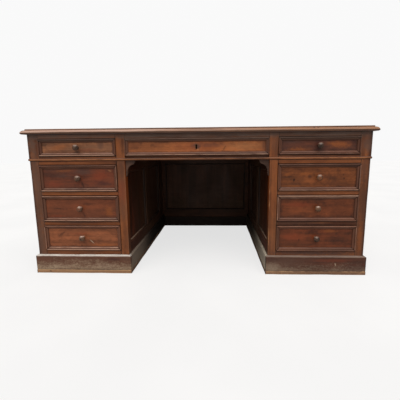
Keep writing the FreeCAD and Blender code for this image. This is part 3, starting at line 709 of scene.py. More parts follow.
shaded_kneehole_walnut, shaded_kneehole_bead_walnut = (
    board_finish(name, KNEEHOLE_SHADED, amount=0.8, rough=(0.38, 0.66), dress=partial(shaded_with_depth, depth_shade=depth_shade))
    for name, depth_shade in KNEEHOLE_DEPTH_SHADE.items()
)
side_walnut = board_finish("side_walnut", SIDE_WALNUT, amount=0.4, rough=(0.34, 0.66), figure=1.9)
outer_beads, backs = [], []
thick = (back - WALL_THICK, back)
set_in = (thick[0], thick[0] + PANEL_BACK)
for side, sign in SIDES:
    framing, filling, beads = side_wall(sign * pedestal_half, -sign)
    outer_beads += beads
    inner_framing, inner_filling, inner_beads = side_wall(sign * knee, sign, INNER_RUB)
    span = np.sort((sign * knee, sign * pedestal_half))
    panel_x = (span[0] + BACK_STILE, span[1] - BACK_STILE)
    backs += [board(panel_x, thick, high, "x", tone=RAIL_TONE) for high in rails_high]
    backs += [board(stile, thick, tall, "z") for stile in ((span[0], panel_x[0]), (panel_x[1], span[1]))]
    filling.append(board(panel_x, set_in, panel_high, "z", ease=PANEL_EASE, tone=PANEL_TONE))
    start, width = (panel_x[1], set_in[1], sill), panel_x[1] - panel_x[0]
    outer_beads += mitred_ring(bead_outline, start, (-X, Z, Y), width, head - sill, tone=BEAD_TONE)
    walls, panels = [f"{side}_pedestal_sides"], [f"{side}_pedestal_panels"]
    fitted(f"{side}_outer_framing", framing, side_walnut, walls)
    fitted(f"{side}_kneehole_framing", inner_framing, shaded_kneehole_walnut, walls)
    fitted(f"{side}_kneehole_panels", inner_filling, shaded_kneehole_walnut, panels)
    fitted(f"{side}_kneehole_beads", inner_beads, shaded_kneehole_bead_walnut, ["panel_beads"])
    fitted(f"{side}_outer_panels", filling, side_walnut, panels)
fitted("back_framing", backs, side_walnut, ["pedestal_backs"])
fitted("outer_panel_beads", outer_beads, side_walnut, ["panel_beads"])

# Kneehole back. A panelled board between the pedestals, notched over the plinths, with a chamfered skirting
# along its foot and a bead round its panel. Like the kneehole walls, it carries painted shade: its kneehole
# side and its skirting are coloured dark.

SKIRTING_CHAMFER = 0.006
SKIRTING_EASE = 0.0005
SKIRTING_DENTS = 0.0003
# Painted shade: dark colours for the skirting and for the kneehole side of the back, standing in for the
# shade deep in the kneehole.
SKIRTING_SHADED = ((56, 39, 28), (36, 25, 18), (44, 33, 25), (66, 50, 40), (10, 6, 4))
BACK_UPRIGHT_SHADED = ((95, 57, 34), (64, 39, 23), (68, 47, 31))
BACK_LEVEL_SHADED = ((100, 58, 31), (66, 39, 22), (68, 46, 29))
ALONG_X = (0.0, 0.0, 0.0)
ALONG_Y = (0.0, 0.0, math.pi / 2)
ALONG_Z = (0.0, math.pi / 2, 0.0)


def grain_along(tree, turn=ALONG_X, shift=NOWHERE):
    """Object coordinates, turned and shifted so that they run along the grain of a piece."""
    placed = {"Vector": object_place(tree), "Rotation": turn, "Location": shift}
    return add(tree, "ShaderNodeMapping", placed).outputs[0]


def node_finish(name, look, turn, cloudiness=0.5, rough=(0.35, 0.65), bump=0.0004, dress=None, shift=NOWHERE):
    """Finish of a carried-over node: the same wood, with its grain turned to run along the piece."""
    finish, tree = new_finish(name)
    wood = figured(grain_along(tree, turn, shift), look, cloudiness=cloudiness)
    return finished(finish, wood["Colour"], dulled(wood, rough), wood["Height"], bump, dress)


def dress_node(finish, *names):
    """Gives carried-over nodes their finish."""
    for name in names:
        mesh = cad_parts[name].data
        mesh.materials.clear()
        mesh.materials.append(finish)


def back_dress(tree, colour, dullness, turn, top, amount):
    """Dress of the kneehole back: dust low down in front over the dark colours of its painted shade, and the
    walnut of the other backs behind.
    """
    colour, dullness = dusted(tree, colour, dullness, top, amount)
    rear = figured(grain_along(tree, turn), SIDE_WALNUT)
    return blended(smooth(facing(tree)[1], 0.3, 0.7), colour, rear["Colour"]), dullness


for name, node, look, turn, top, amount in (
    ("kneehole_back_upright", "modesty_panel", BACK_UPRIGHT_SHADED, ALONG_Z, 0.36, 0.12),
    ("kneehole_back_level", "modesty_frame", BACK_LEVEL_SHADED, ALONG_X, 0.09, 0.1),
):
    dress = partial(back_dress, turn=turn, top=top, amount=amount)
    dress_node(node_finish(name, look, turn, dress=dress), node)
modesty_low, modesty_high = box_of("modesty_panel")
wide, _, high = modesty_high - modesty_low
modesty_beads = mitred_ring(bead_outline, modesty_low, (X, Z, -Y), wide, high, tone=BEAD_TONE)
fitted("kneehole_back_beads", modesty_beads, shaded_kneehole_bead_walnut, ["panel_beads"])
skirt_low, skirt_high = box_of("modesty_skirting")
thick, high = skirt_high[1] - skirt_low[1], skirt_high[2]
chamfer = [(SKIRTING_CHAMFER, high), (0, high - SKIRTING_CHAMFER)]
skirting_outline = eased([*oblong(thick, high)[:3], *chamfer], SKIRTING_EASE)
skirting = carried(skirting_outline, skirt_low, (X, Y, Z), skirt_high[0] - skirt_low[0], dents=SKIRTING_DENTS)
shaded_skirting_walnut = board_finish("shaded_skirting_walnut", SKIRTING_SHADED, amount=0.5, rough=(0.42, 0.68))
fitted("kneehole_skirting", [skirting], shaded_skirting_walnut, ["modesty_skirting"])

# Kneehole brackets. Two small shaped brackets, sawn from dark walnut, glued into the upper front corners of
# the kneehole: a rounded nose, a deep hollow and a rounded toe, with the sawn edge softened.

BRACKET_WIDE = 0.050
BRACKET_NOSE = (0.009, 0.021)
BRACKET_TOE = 0.023
BRACKET_WEB = 0.0085
BRACKET_SAG = 0.010
BRACKET_ROUND = 0.003
BRACKET_EASE = 0.0012
BRACKET_WEAR = 0.2
BRACKET_TONE = 0.45
DARK_WALNUT = ((108, 76, 60), (66, 46, 37), (78, 60, 50), (148, 118, 98), (20, 13, 10))

bracket_low, bracket_high = box_of("kneehole_brackets")
_, thick, high = bracket_high - bracket_low
nose = (BRACKET_WIDE - BRACKET_NOSE[0], -BRACKET_NOSE[1])
toe = (BRACKET_WEB, BRACKET_TOE - high)
edge = np.concatenate((
    arc((0, -high), toe, -BRACKET_ROUND, 6)[:-1],
    arc(toe, nose, BRACKET_SAG, 14)[:-1],
    arc(nose, (BRACKET_WIDE, 0), -BRACKET_ROUND, 6),
    [(0.5 * BRACKET_WIDE, 0), (0, 0), (0, -0.5 * high)],
))
bracket_outline = shaped(edge, np.full(len(edge), BRACKET_WEAR))
bracket_ends = {"end_ease": BRACKET_EASE, "end_wear": BRACKET_WEAR}
brackets = []
for sign in (-1, 1):
    corner, axes = (sign * knee, bracket_low[1], bracket_high[2]), (Y, -sign * X, Z)
    brackets.append(carried(bracket_outline, corner, axes, thick, tone=BRACKET_TONE, **bracket_ends))
dark_walnut = board_finish("dark_walnut", DARK_WALNUT, rough=(0.30, 0.55))
fitted("sawn_brackets", brackets, dark_walnut, ["kneehole_brackets"], crease=14)

# Runners and inner boards. Rough, bare boards inside the carcase: runners, guides and stops for the drawers,
# the partitions of the frieze, and the glue blocks under the top. They are planed, not polished.

ROUGH_WOOD = ((150, 112, 76), (104, 74, 50), (92, 68, 48))

for name, turn, cloudiness, nodes in (
    ("rough_inner_wood", ALONG_Y, 0.5, ("pedestal_runners", "frieze_runners", "frieze_partitions")),
    ("rough_block_wood", ALONG_X, 0.6, ("glue_blocks",)),
):
    dress_node(node_finish(name, ROUGH_WOOD, turn, cloudiness, rough=(0.62, 0.88), bump=0.0008), *nodes)

# Frieze. A shallow case that joins the two pedestals: posts and rails in front, end boards, a back board and
# a thin board over the kneehole. The middle lower rail is set back a little above the bead.

FRIEZE_UPPER_RAIL = 0.0235
FRIEZE_LOWER_RAIL = 0.0225
FRIEZE_END_POST = 0.0525
FRIEZE_INNER_POST = 0.044
CENTRE_HALF = 0.362
CENTRE_SET_BACK = 0.008
BEAD_HIGH = 0.011
SOFFIT_THICK = 0.007
MORTISE_GAP = 0.0003
MORTISE_DEEP = 0.0083
MORTISE_WEAR = -0.6
INNER_POST_DENTS = 0.0005
LOCK_RAIL_ARRIS = 0.0009
CENTRE_ARRIS = 0.0006
SOFFIT_ARRIS = 0.0005
END_POST_TONES = {-1: 0.4, 1: 0.5}
INNER_POST_TONE, LOWER_RAIL_TONE, UPPER_RAIL_TONE = 0.66, 0.62, 0.68
LOCK_RAIL_TONE, CENTRE_TONE, SOFFIT_TONE = 0.18, 0.4, 0.1


def pocketed(bar, low, high):
    """Cuts a square pocket up into the underside of a bar, between two values on each axis.

    The face that holds the mouth gives way to four faces round it, and four walls lead up to a flat end.
    """
    count = np.count_nonzero(bar["sizes"] == 4)
    quads, ends = bar["corners"][: 4 * count].reshape(-1, 4), bar["corners"][4 * count :]
    spans = bar["co"][quads]
    near, far = spans.min(1), spans.max(1)
    cut = np.argmax(((near <= low) & (far >= (*high[:2], low[2]))).all(1) & (far[:, 2] < low[2] + 1e-5))
    face = spans[cut]
    mouth = np.where(face < (low + high) / 2, low, high)
    mouth[:, 2] = low[2]
    walls = np.concatenate((mouth, mouth + (0, 0, high[2] - low[2])))
    outer, inner, top = quads[cut], len(bar["co"]) + np.arange(4), len(bar["co"]) + np.arange(4, 8)
    pairs = ((outer, inner), (inner, top))
    rings = [np.stack((one, np.roll(one, -1), np.roll(two, -1), two), 1) for one, two in pairs]
    quads = np.concatenate((np.delete(quads, cut, 0), *rings, [top]))
    return {
        "co": np.concatenate((bar["co"], walls)),
        "corners": np.concatenate((quads.ravel(), ends)),
        "sizes": np.concatenate((np.full(len(quads), 4), bar["sizes"][count:])),
        "grain": np.concatenate((bar["grain"], bar["grain"][outer[0]] + walls - face[0])),
        "wear": np.concatenate((bar["wear"], np.full(8, MORTISE_WEAR))),
        "tone": np.concatenate((bar["tone"], bar["tone"][:8])),
    }


frieze_low, frieze_high = box_of("frieze_frame")
frieze_half, frieze_front, frieze_wall = frieze_high[0], frieze_low[1], frieze_high[1]
frieze_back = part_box("frieze_boards")[1][1]
frieze_tall = (frieze_low[2], frieze_high[2])
frieze_deep = (frieze_front, frieze_wall)
opening = (frieze_tall[0] + FRIEZE_LOWER_RAIL, frieze_tall[1] - FRIEZE_UPPER_RAIL)
lower_rail, upper_rail = (frieze_tall[0], opening[0]), (opening[1], frieze_tall[1])
members = []
for sign, end_tone in END_POST_TONES.items():
    inner = (sign * CENTRE_HALF, sign * (CENTRE_HALF + FRIEZE_INNER_POST))
    outer = (sign * (frieze_half - FRIEZE_END_POST), sign * frieze_half)
    between = (inner[1], outer[0])
    members += [
        board(inner, frieze_deep, frieze_tall, "z", dents=INNER_POST_DENTS, tone=INNER_POST_TONE),
        board(outer, frieze_deep, frieze_tall, "z", dents=POST_DENTS, tone=end_tone),
        board(between, frieze_deep, lower_rail, "x", tone=LOWER_RAIL_TONE, rub=RAIL_RUB),
        board(between, frieze_deep, upper_rail, "x", tone=UPPER_RAIL_TONE, rub=RAIL_RUB),
    ]
centre_bay = (-CENTRE_HALF, CENTRE_HALF)
bead_top = frieze_tall[0] + BEAD_HIGH
lock_rail = board(centre_bay, frieze_deep, upper_rail, "x", ease=LOCK_RAIL_ARRIS, tone=LOCK_RAIL_TONE)
bolt_low, bolt_high = box_of("lock_bolt")
mortise = bolt_low - MORTISE_GAP, bolt_high + MORTISE_GAP
mortise[0][2], mortise[1][2] = opening[1], opening[1] + MORTISE_DEEP
set_back = (frieze_front + CENTRE_SET_BACK, frieze_wall)
members += [
    pocketed(lock_rail, *mortise),
    board(centre_bay, frieze_deep, (frieze_tall[0], bead_top), "x", ease=CENTRE_ARRIS, tone=CENTRE_TONE),
    board(centre_bay, set_back, (bead_top, opening[0]), "x", ease=CENTRE_ARRIS, tone=CENTRE_TONE),
]
fitted("frieze_posts_and_rails", members, polished_walnut, ["frieze_frame"])
inner_back = frieze_back - WALL_THICK
inside = (frieze_wall, inner_back)
soffit_half = CENTRE_HALF + (FRIEZE_INNER_POST - WALL_THICK) / 2
soffit = (frieze_tall[0], frieze_tall[0] + SOFFIT_THICK)
ends = [(sign * (frieze_half - WALL_THICK), sign * frieze_half) for sign in (-1, 1)]
closing = [board(end, inside, frieze_tall, "y") for end in ends]
closing.append(board((-frieze_half, frieze_half), (inner_back, frieze_back), frieze_tall, "x"))
soffit_span = (-soffit_half, soffit_half)
closing.append(board(soffit_span, inside, soffit, "x", ease=SOFFIT_ARRIS, tone=SOFFIT_TONE))
fitted("frieze_end_and_back_boards", closing, side_walnut, ["frieze_boards"])

# Frieze bead. A half-round walnut bead, pinned round the foot of the frieze and mitred at the corners. Its
# crest is rubbed to a reddish tan by knees and chairs.

BEAD_PROUD = 0.003
BEAD_SHOULDER = 0.001
BEAD_DENTS = 0.0005
BEAD_LOOK = ((148, 88, 52), (90, 50, 31), (96, 62, 44), (202, 133, 84), (22, 13, 9))
BEAD_DARK_MIDDLE = (48, 28, 21)
DARK_MIDDLE_ENDS = (CENTRE_HALF - 0.02, CENTRE_HALF + 0.03)

half_round = arc((-BEAD_SHOULDER, BEAD_HIGH), (-BEAD_SHOULDER, 0), BEAD_SHOULDER - BEAD_PROUD, 11)
half_round_outline = shaped(
    np.concatenate((half_round, [(0.0, 0.0), (0.0, BEAD_HIGH)])),
    np.concatenate((np.sin(np.linspace(0, np.pi, 11)) * 1.4 - 0.4, [-0.5, -0.5])),
)


def bead_dress(tree, colour, dullness):
    """Dress of the bead: darker over the kneehole, clearer on both sides."""
    aside = sums("ABSOLUTE", axes_of(object_place(tree))[0])
    return laid(colour, smooth(aside, *DARK_MIDDLE_ENDS, 0.45, 0.0), BEAD_DARK_MIDDLE), dullness


bead_walnut = board_finish("bead_walnut", BEAD_LOOK, 0.4, amount=0.7, rough=(0.28, 0.5), dress=bead_dress)
start = (-frieze_half, frieze_front, frieze_tall[0])
width, depth = 2 * frieze_half, frieze_back - frieze_front
bead = mitred_ring(half_round_outline, start, (X, Y, Z), width, depth, dents=BEAD_DENTS)
fitted("half_round_bead", bead, bead_walnut, ["frieze_bead"])

# Desk top. Four wide walnut boards glued edge to edge, with a moulded edge worked all round: a rounded nose,
# a thumb and an upright fillet. Sleeves have rubbed the thumb to a pale tan, which is partly a painted
# highlight.

TOP_NOSE = 0.007
TOP_THUMB_RUN = 0.017
TOP_THUMB_BULGE = 0.0035
TOP_FILLET = 0.006
TOP_FILLET_FOOT = 0.0012
TOP_FILLET_ARRIS = ((0.0002, -0.0014), (0.0006, -0.0004), (0.0016, 0.0), (0.008, 0.0))
TOP_UNDER_STEPS = (0.024, 0.012)
TOP_CORNER = 0.004
TOP_CORNER_TAPER = 0.4
TOP_CORNER_LEAST = 0.0008
TOP_FLAT = 0.14
TOP_BOARDS = 4
TOP_LOOK = ((150, 104, 76), (92, 62, 47), (112, 84, 68))
# Pale colours of the thumb: worn finish, and partly a painted highlight where the thumb faces the sky.
TOP_RUB_AND_HIGHLIGHT = ((210, 173, 153), (176, 142, 122), (170, 121, 86))  # left, middle and right
TOP_UNDER = (90, 91, 97)
TOP_STREAK = (0.18, 0.3, 1.0)
TOP_MARKS = [
    ("knot", 570, 752, 5, 4, 0, 0.8), ("knot", 589, 751, 6, 3, 0, 0.7), ("dark", -868, 752, 8, 9, 0, 0.5),
]


def round_path(low, high, radius, straight=24, bend=5):
    """Closed path round a rectangle with rounded corners, one for each row of low, high and radius.

    A side is a straight run cut into equal steps, and a corner is a quarter circle about a point that lies
    the radius inside both sides.
    """
    turn = np.pi * np.array((1.0, 1.5, 2.0, 2.5))[:, None] + np.linspace(0, np.pi / 2, bend)
    around = np.stack((np.cos(turn), np.sin(turn)), -1)
    inner = np.stack((low + radius[:, None], high - radius[:, None]), 1)
    centre = np.stack((inner[:, (0, 1, 1, 0), 0], inner[:, (0, 0, 1, 1), 1]), -1)
    corner = centre[:, :, None] + radius[:, None, None, None] * around
    leave, arrive = corner[:, :, -1:], np.roll(corner[:, :, :1], -1, 1)
    step = np.linspace(0, 1, straight + 1)[1:-1, None]
    return np.concatenate((corner, leave + step * (arrive - leave)), 2).reshape(len(low), -1, 2)


top_low, top_high = box_of("desk_top")
top_thick = top_high[2] - top_low[2]
step_height = top_thick - TOP_FILLET
profile = np.concatenate((
    [(step, 0.0) for step in (TOP_FLAT, *TOP_UNDER_STEPS)],
    arc((TOP_NOSE, 0), (0, TOP_NOSE), TOP_NOSE * (1 - math.sqrt(0.5)), 6),
    arc((0, TOP_NOSE), (TOP_THUMB_RUN, step_height), TOP_THUMB_BULGE, 10)[1:],
    [(TOP_THUMB_RUN, step_height + TOP_FILLET_FOOT)],
    np.array((TOP_THUMB_RUN, top_thick)) + TOP_FILLET_ARRIS,
    [(TOP_FLAT, top_thick)],
))
top_wear = np.concatenate((
    [-1, -1, -1], np.linspace(-1, 0.25, 6), np.linspace(0.7, 1.0, 4), np.linspace(1.0, 0.4, 5),
    [-0.4, 0.3, 0.5, 0.5, 0, 0],
))
inset = profile[:, :1]
corner_round = np.clip(TOP_CORNER - TOP_CORNER_TAPER * inset[:, 0], TOP_CORNER_LEAST, None)
paths = round_path(top_low[:2] + inset, top_high[:2] - inset, corner_round)
rings = np.concatenate((paths, np.broadcast_to(top_low[2] + profile[:, None, 1:], (*paths.shape[:2], 1))), 2)
top_part = surface(rings, tube_faces(*rings.shape[:2]), rings, np.repeat(top_wear, rings.shape[1]), 0.5)


def top_finish():
    """Finish of the top: each board has a figure of its own, and a dark line shows where two are glued."""
    finish, tree = new_finish("top_walnut")
    grain = read(tree, "grain")["Vector"]
    x, y, _ = axes_of(grain)
    across = sums("DIVIDE", sums("SUBTRACT", y, top_low[1]), (top_high[1] - top_low[1]) / TOP_BOARDS)
    number = sums("FLOOR", across)
    apart = times(number, 3.7)
    offset = add(tree, "ShaderNodeCombineXYZ", {0: apart, 1: apart, 2: number}).outputs[0]
    tone = scaled(sums("SINE", times(number, 2.4)), 0.12, 0.5)
    wood = figured(vectors("ADD", grain, offset), TOP_LOOK, tone)
    seam = sums("ABSOLUTE", sums("SUBTRACT", sums("FRACT", across), 0.5))
    seam = smooth(seam, 0.4965, 0.4995, 0.0, 0.7)
    # The rubbed thumb colours are partly a painted highlight.
    left, middle, right = TOP_RUB_AND_HIGHLIGHT
    rubbed = laid(blended(smooth(x, -0.5, 0.0), shade(left), shade(middle)), smooth(x, 0.0, 0.5), right)
    edges = grouped(tree, rubbed_edges, {
        "Colour": laid(wood["Colour"], seam, JOINT_DIRT), "Wear": read(tree, "wear")["Fac"],
        "Grain": vectors("MULTIPLY", grain, TOP_STREAK), "Rubbed": rubbed, "Dirt": shade(TOP_UNDER),
        "Amount": 0.9,
    })
    colour = stained(edges["Colour"], TOP_MARKS)
    return finished(finish, colour, dulled(wood, (0.3, 0.6)), sums("SUBTRACT", wood["Height"], seam))


fitted("moulded_top", [top_part], top_finish(), ["desk_top"])

# Drawer fronts. Nine walnut boards faced with figured veneer, set a little behind the frame. Each has clouds,
# knots and stains of its own, and a dark border against its moulding that is part dirt and part painted
# shade.

FRONT_LOOKS = {
    "left_upper": ((132, 68, 43), (82, 45, 32), (92, 60, 47), 0.6),
    "left_middle": ((140, 75, 46), (90, 49, 31), (104, 60, 40), 0.5),
    "left_lower": ((170, 100, 64), (112, 65, 42), (122, 77, 54), 0.4),
    "right_upper": ((150, 84, 44), (84, 46, 26), (90, 54, 34), 0.5),
    "right_middle": ((134, 71, 40), (82, 43, 26), (88, 51, 34), 0.5),
    "right_lower": ((134, 68, 40), (78, 42, 26), (80, 47, 30), 0.5),
    "left_frieze": ((182, 120, 80), (116, 74, 52), (112, 80, 60), 0.5),
    "right_frieze": ((118, 66, 45), (74, 44, 35), (90, 56, 45), 0.5),
    "centre": ((186, 110, 62), (122, 70, 40), (122, 70, 42), 0.45),
}
FRONT_MARKS = {
    "left_upper": [
        ("grey", -585, 545, 66, 22, 0, 0.8), ("red", -497, 521, 56, 26, 5, 0.65),
        ("plum", -490, 486, 48, 14, -5, 0.65), ("red", -745, 480, 60, 18, 0, 0.5),
        ("orange", -690, 549, 64, 9, 3, 0.38), ("grey", -690, 523, 48, 11, 0, 0.5),
        ("tan", -446, 548, 12, 4, -25, 0.6), ("dark", -592, 478, 6, 22, 20, 0.6),
    ],
    "left_middle": [
        ("dark", -725, 350, 44, 6, -4, 0.55), ("dark", -566, 374, 44, 10, 0, 0.4),
        ("orange", -463, 335, 26, 34, 0, 0.5), ("red", -740, 310, 54, 11, 0, 0.4),
        ("dark", -595, 314, 6, 16, 25, 0.6),
    ],
    "left_lower": [
        ("dark", -727, 212, 32, 8, 35, 0.5), ("orange", -500, 150, 84, 14, 0, 0.4),
        ("red", -620, 215, 62, 9, 0, 0.35), ("dark", -621, 143, 5, 14, 8, 0.6),
        ("dust", -566, 172, 17, 2.2, -43, 0.9),
    ],
    "right_upper": [
        ("orange", 545, 527, 48, 10, 3, 0.6), ("orange", 457, 524, 24, 10, 20, 0.5),
        ("orange", 480, 465, 54, 9, 0, 0.4), ("dark", 672, 505, 50, 17, -8, 0.5),
        ("dark", 605, 545, 15, 11, 0, 0.4), ("dark", 567, 513, 13, 12, 30, 0.6),
        ("knot", 489, 496, 6, 10, -15, 0.85), ("knot", 736, 503, 6, 7, 0, 0.7),
        ("knot", 731, 522, 6, 6, 0, 0.5), ("knot", 679, 459, 4, 4, 0, 0.8),
        ("dark", 715, 500, 110, 60, 0, 0.38),
    ],
    "right_middle": [
        ("red", 520, 370, 84, 17, 0, 0.5), ("dark", 560, 322, 44, 11, -5, 0.45),
        ("orange", 740, 298, 54, 8, 0, 0.4), ("dark", 808, 351, 16, 54, 0, 0.65),
        ("knot", 784, 309, 5, 11, 5, 0.6), ("knot", 742, 377, 4, 4, 0, 0.5),
        ("dark", 735, 345, 100, 50, 0, 0.15),
    ],
    "right_lower": [
        ("dark", 593, 229, 36, 16, 0, 0.6), ("orange", 680, 231, 46, 9, 0, 0.5),
        ("dark", 720, 185, 60, 32, 0, 0.45), ("red", 490, 200, 58, 27, 0, 0.4),
        ("orange", 470, 143, 44, 8, 0, 0.4), ("knot", 526, 183, 5, 7, 0, 0.65),
    ],
    "left_frieze": [
        ("orange", -700, 668, 54, 19, 8, 0.5), ("grey", -707, 700, 34, 7, 0, 0.6),
        ("dark", -781, 680, 30, 5, 5, 0.6), ("dark", -772, 696, 32, 5, -5, 0.45),
        ("dark", -603, 703, 14, 6, 0, 0.45), ("red", -555, 654, 62, 10, 0, 0.35),
        ("grey", -485, 680, 20, 32, 0, 0.6), ("dark", -610, 645, 15, 5, 10, 0.55),
    ],
    "right_frieze": [
        ("orange", 500, 645, 70, 17, 3, 0.7), ("orange", 700, 672, 68, 20, -3, 0.75),
        ("plum", 610, 672, 44, 46, 0, 0.5), ("grey", 470, 688, 64, 12, 0, 0.5),
        ("plum", 770, 690, 14, 30, 0, 0.5),
    ],
    "centre": [
        ("red", 10, 668, 150, 40, 0, 0.4), ("grey", 70, 674, 95, 13, 0, 0.4),
        ("tan", 240, 667, 115, 24, 0, 0.3), ("dark", -278, 684, 10, 8, 0, 0.4),
        ("dark", -222, 675, 14, 8, 10, 0.4), ("dark", -159, 688, 44, 6, 0, 0.45),
        # The tan mark at x 8, z 652 is a painted highlight on the lower lip of the keyhole.
        ("dark", 139, 657, 17, 3, 58, 0.6), ("grey", 1, 668, 26, 19, 0, 0.85), ("tan", 8, 652, 7, 4, 30, 0.6),
        ("plum", 335, 668, 12, 34, 0, 0.4),
    ],
}
FRONT_BORDER = 0.013
# Width and colour of the dark border by the moulding: part dirt, part painted shade.
BORDER_DARK_WIDTH = 0.010
FRONT_BORDER_DARK_WIDTHS = {"right_middle": 0.022, "right_frieze": 0.018}
BORDER_DIRT_AND_SHADE = (52, 32, 25)
DOVETAIL_PITCH = 0.030
DOVETAIL_LENGTH = 0.014
BOX_PALE = (178, 134, 90)
FRONT_SHIFT = np.array((1.7, 2.3, 0.9))


@group(Place=NOWHERE, Centre=NOWHERE, Half=(1.0, 1.0, 1.0), Width=0.02)
def border_dirt_and_shade(tree, given):
    """Dirt and painted shade that creep in from the sides of a rectangle: near the border they win over a
    ragged noise.
    """
    off = vectors("ABSOLUTE", vectors("SUBTRACT", given["Place"], given["Centre"]))
    x, _, z = axes_of(vectors("SUBTRACT", given["Half"], off))
    near = sums("DIVIDE", sums("SMOOTH_MIN", x, z, 0.02), given["Width"])
    ragged = speckle(given["Place"], (28.0, 28.0, 40.0), 4.0, 0.6)
    near = sums("ADD", near, scaled(ragged, 2.0, -1.0))
    return {"Mask": smooth(near, 0.0, 1.0, 1.0, 0.0)}


@group(Place=NOWHERE, Back=0.0, Foot=0.0, Pitch=0.03, Length=0.014)
def dovetails(tree, given):
    """Tails of the drawer sides on the ends of a front board: a row of wedges, widest at their tips."""
    _, y, z = axes_of(given["Place"])
    ends = sums("GREATER_THAN", sums("ABSOLUTE", facing(tree)[0]), 0.7)
    deep = sums("DIVIDE", sums("SUBTRACT", given["Back"], y), given["Length"])
    step = sums("FRACT", sums("DIVIDE", sums("SUBTRACT", z, given["Foot"]), given["Pitch"]))
    off = times(sums("ABSOLUTE", sums("SUBTRACT", step, 0.5)), 2.0)
    tail = smooth(sums("SUBTRACT", off, times(deep, 0.22)), 0.54, 0.58, 1.0, 0.0)
    tail = times(tail, smooth(deep, 0.97, 1.0, 1.0, 0.0))
    return {"Mask": times(tail, ends)}


drawers = [f"{side}_{level}" for level in (*LEVELS, "frieze") for side in ("left", "right")] + ["centre"]


def front_finish(drawer, count):
    """Finish of one drawer front, with its own part of the figure."""
    *look, cloudiness = FRONT_LOOKS[drawer]
    low, high = box_of(f"{drawer}_drawer_front")
    foot, top = (corner[2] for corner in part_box(f"{drawer}_drawer_box"))
    pitch = (top - foot) / max(2, round((top - foot) / DOVETAIL_PITCH))
    finish, tree = new_finish(f"{drawer}_veneer")
    place, grain = object_place(tree), grain_along(tree, shift=count * FRONT_SHIFT)
    wood = figured(grain, look, cloudiness=cloudiness, Figure=1.7, Mottle=1.5)
    dirt = grouped(tree, border_dirt_and_shade, {
        "Place": place, "Centre": (*(low + high) / 2,), "Half": (*(high - low) / 2 - FRONT_BORDER,),
        "Width": FRONT_BORDER_DARK_WIDTHS.get(drawer, BORDER_DARK_WIDTH),
    })
    tails = grouped(tree, dovetails, {
        "Place": place, "Back": high[1], "Foot": foot, "Pitch": pitch, "Length": DOVETAIL_LENGTH,
    })
    colour = stained(wood["Colour"], FRONT_MARKS[drawer])
    # The dark border by the moulding is part dirt and part painted shade; then the pale tails.
    colour = laid(laid(colour, times(dirt["Mask"], 0.55), BORDER_DIRT_AND_SHADE), tails["Mask"], BOX_PALE)
    return finished(finish, colour, dulled(wood, (0.26, 0.55)), wood["Height"], bump=0.0003)


for count, drawer in enumerate(drawers):
    dress_node(front_finish(drawer, count), f"{drawer}_drawer_front")

# Drawer mouldings. Four mitred strips of dark walnut planted round each front: a round ridge outside, a quirk
# and an ovolo that runs down to the veneer. The ridges are rubbed grey, which on the strips that catch the
# light is partly a painted highlight, and the quirks hold dirt.

MOULDING_WIDE = 0.017
MOULDING_HIGH = 0.012
RIDGE_WIDE = 0.0065
RIDGE_ROUND = 0.0033
QUIRK = (0.008, 0.0071)
TOE_HIGH = 0.0018
OVOLO_BULGE = 0.0016
MOULDING_DENTS = 0.0007
MOULDING_LOOK = ((124, 79, 58), (76, 46, 35), (88, 60, 48), (184, 143, 120), (36, 22, 16))
MOULDING_UNDER_TOP_GREY = (92, 77, 66)
UNDER_TOP_GREY_HEIGHTS = (opening[1] - MOULDING_WIDE, UNDER_TOP_GREY_TOP - 0.02)
# How pale each strip is rubbed: wear, and partly a painted highlight on the strips that catch the light.
MOULDING_RUBS_AND_HIGHLIGHTS = {  # lower, right, upper and left strip
    "left_upper": (1.3, 0.65, 0.35, 0.2),
    "left_middle": (1.2, 0.2, 0.75, 0.25),
    "left_lower": (2.0, 0.25, 0.6, 0.8),
    "left_frieze": (1.6, 0.2, 0.3, 0.2),
    "right_upper": (0.85, 0.7, 0.4, 0.2),
    "right_middle": (0.2, 0.35, 2.0, 0.8),
    "right_lower": (0.35, 0.6, 0.55, 0.3),
    "right_frieze": (0.4, 0.2, 0.2, 0.2),
    "centre": (0.9, 0.3, 0.5, 0.25),
}
MOULDING_TONES = {"left_lower": 0.95, "left_middle": 0.7, "right_lower": 0.65}

shoulder = MOULDING_HIGH - RIDGE_ROUND
moulding_curve = np.concatenate((
    [(0.0, 0.0), (MOULDING_WIDE, 0.0), (MOULDING_WIDE, TOE_HIGH)],
    arc((MOULDING_WIDE, TOE_HIGH), QUIRK, -OVOLO_BULGE, 8)[1:],
    [(RIDGE_WIDE, QUIRK[1])],
    arc((RIDGE_WIDE, shoulder), (0, shoulder), -RIDGE_ROUND, 9),
))
moulding_wear = np.concatenate((
    [-0.4, -0.4, -0.4], [-0.25, 0.2, 0.4, 0.5, 0.4, 0.15, -0.5], [-0.8],
    [-0.4, 0.2, 0.7, 1.0, 1.1, 1.0, 0.7, 0.2, -0.3],
))
moulding_outline = shaped(moulding_curve, moulding_wear)


def moulding_dress(tree, colour, dullness):
    """Dress of the mouldings: the grey under the top reaches down to the upper strips of the frieze."""
    height = axes_of(object_place(tree))[2]
    return laid(colour, smooth(height, *UNDER_TOP_GREY_HEIGHTS, 0.0, 0.45), MOULDING_UNDER_TOP_GREY), dullness


moulding_walnut = board_finish(
    "moulding_walnut", MOULDING_LOOK, amount=0.85, rough=(0.26, 0.5), dress=moulding_dress
)
for drawer in drawers:
    low, high = box_of(f"{drawer}_drawer_front")
    wide, _, tallness = high - low
    how = {"dents": MOULDING_DENTS, "tone": MOULDING_TONES.get(drawer, 0.5)}
    ring = mitred_ring(moulding_outline, low, (X, Z, -Y), wide, tallness, MOULDING_RUBS_AND_HIGHLIGHTS[drawer], **how)
    body, nodes = f"{drawer}_drawer", [f"{drawer}_drawer_moulding"]
    fitted(f"{drawer}_mitred_moulding", ring, moulding_walnut, nodes, body)

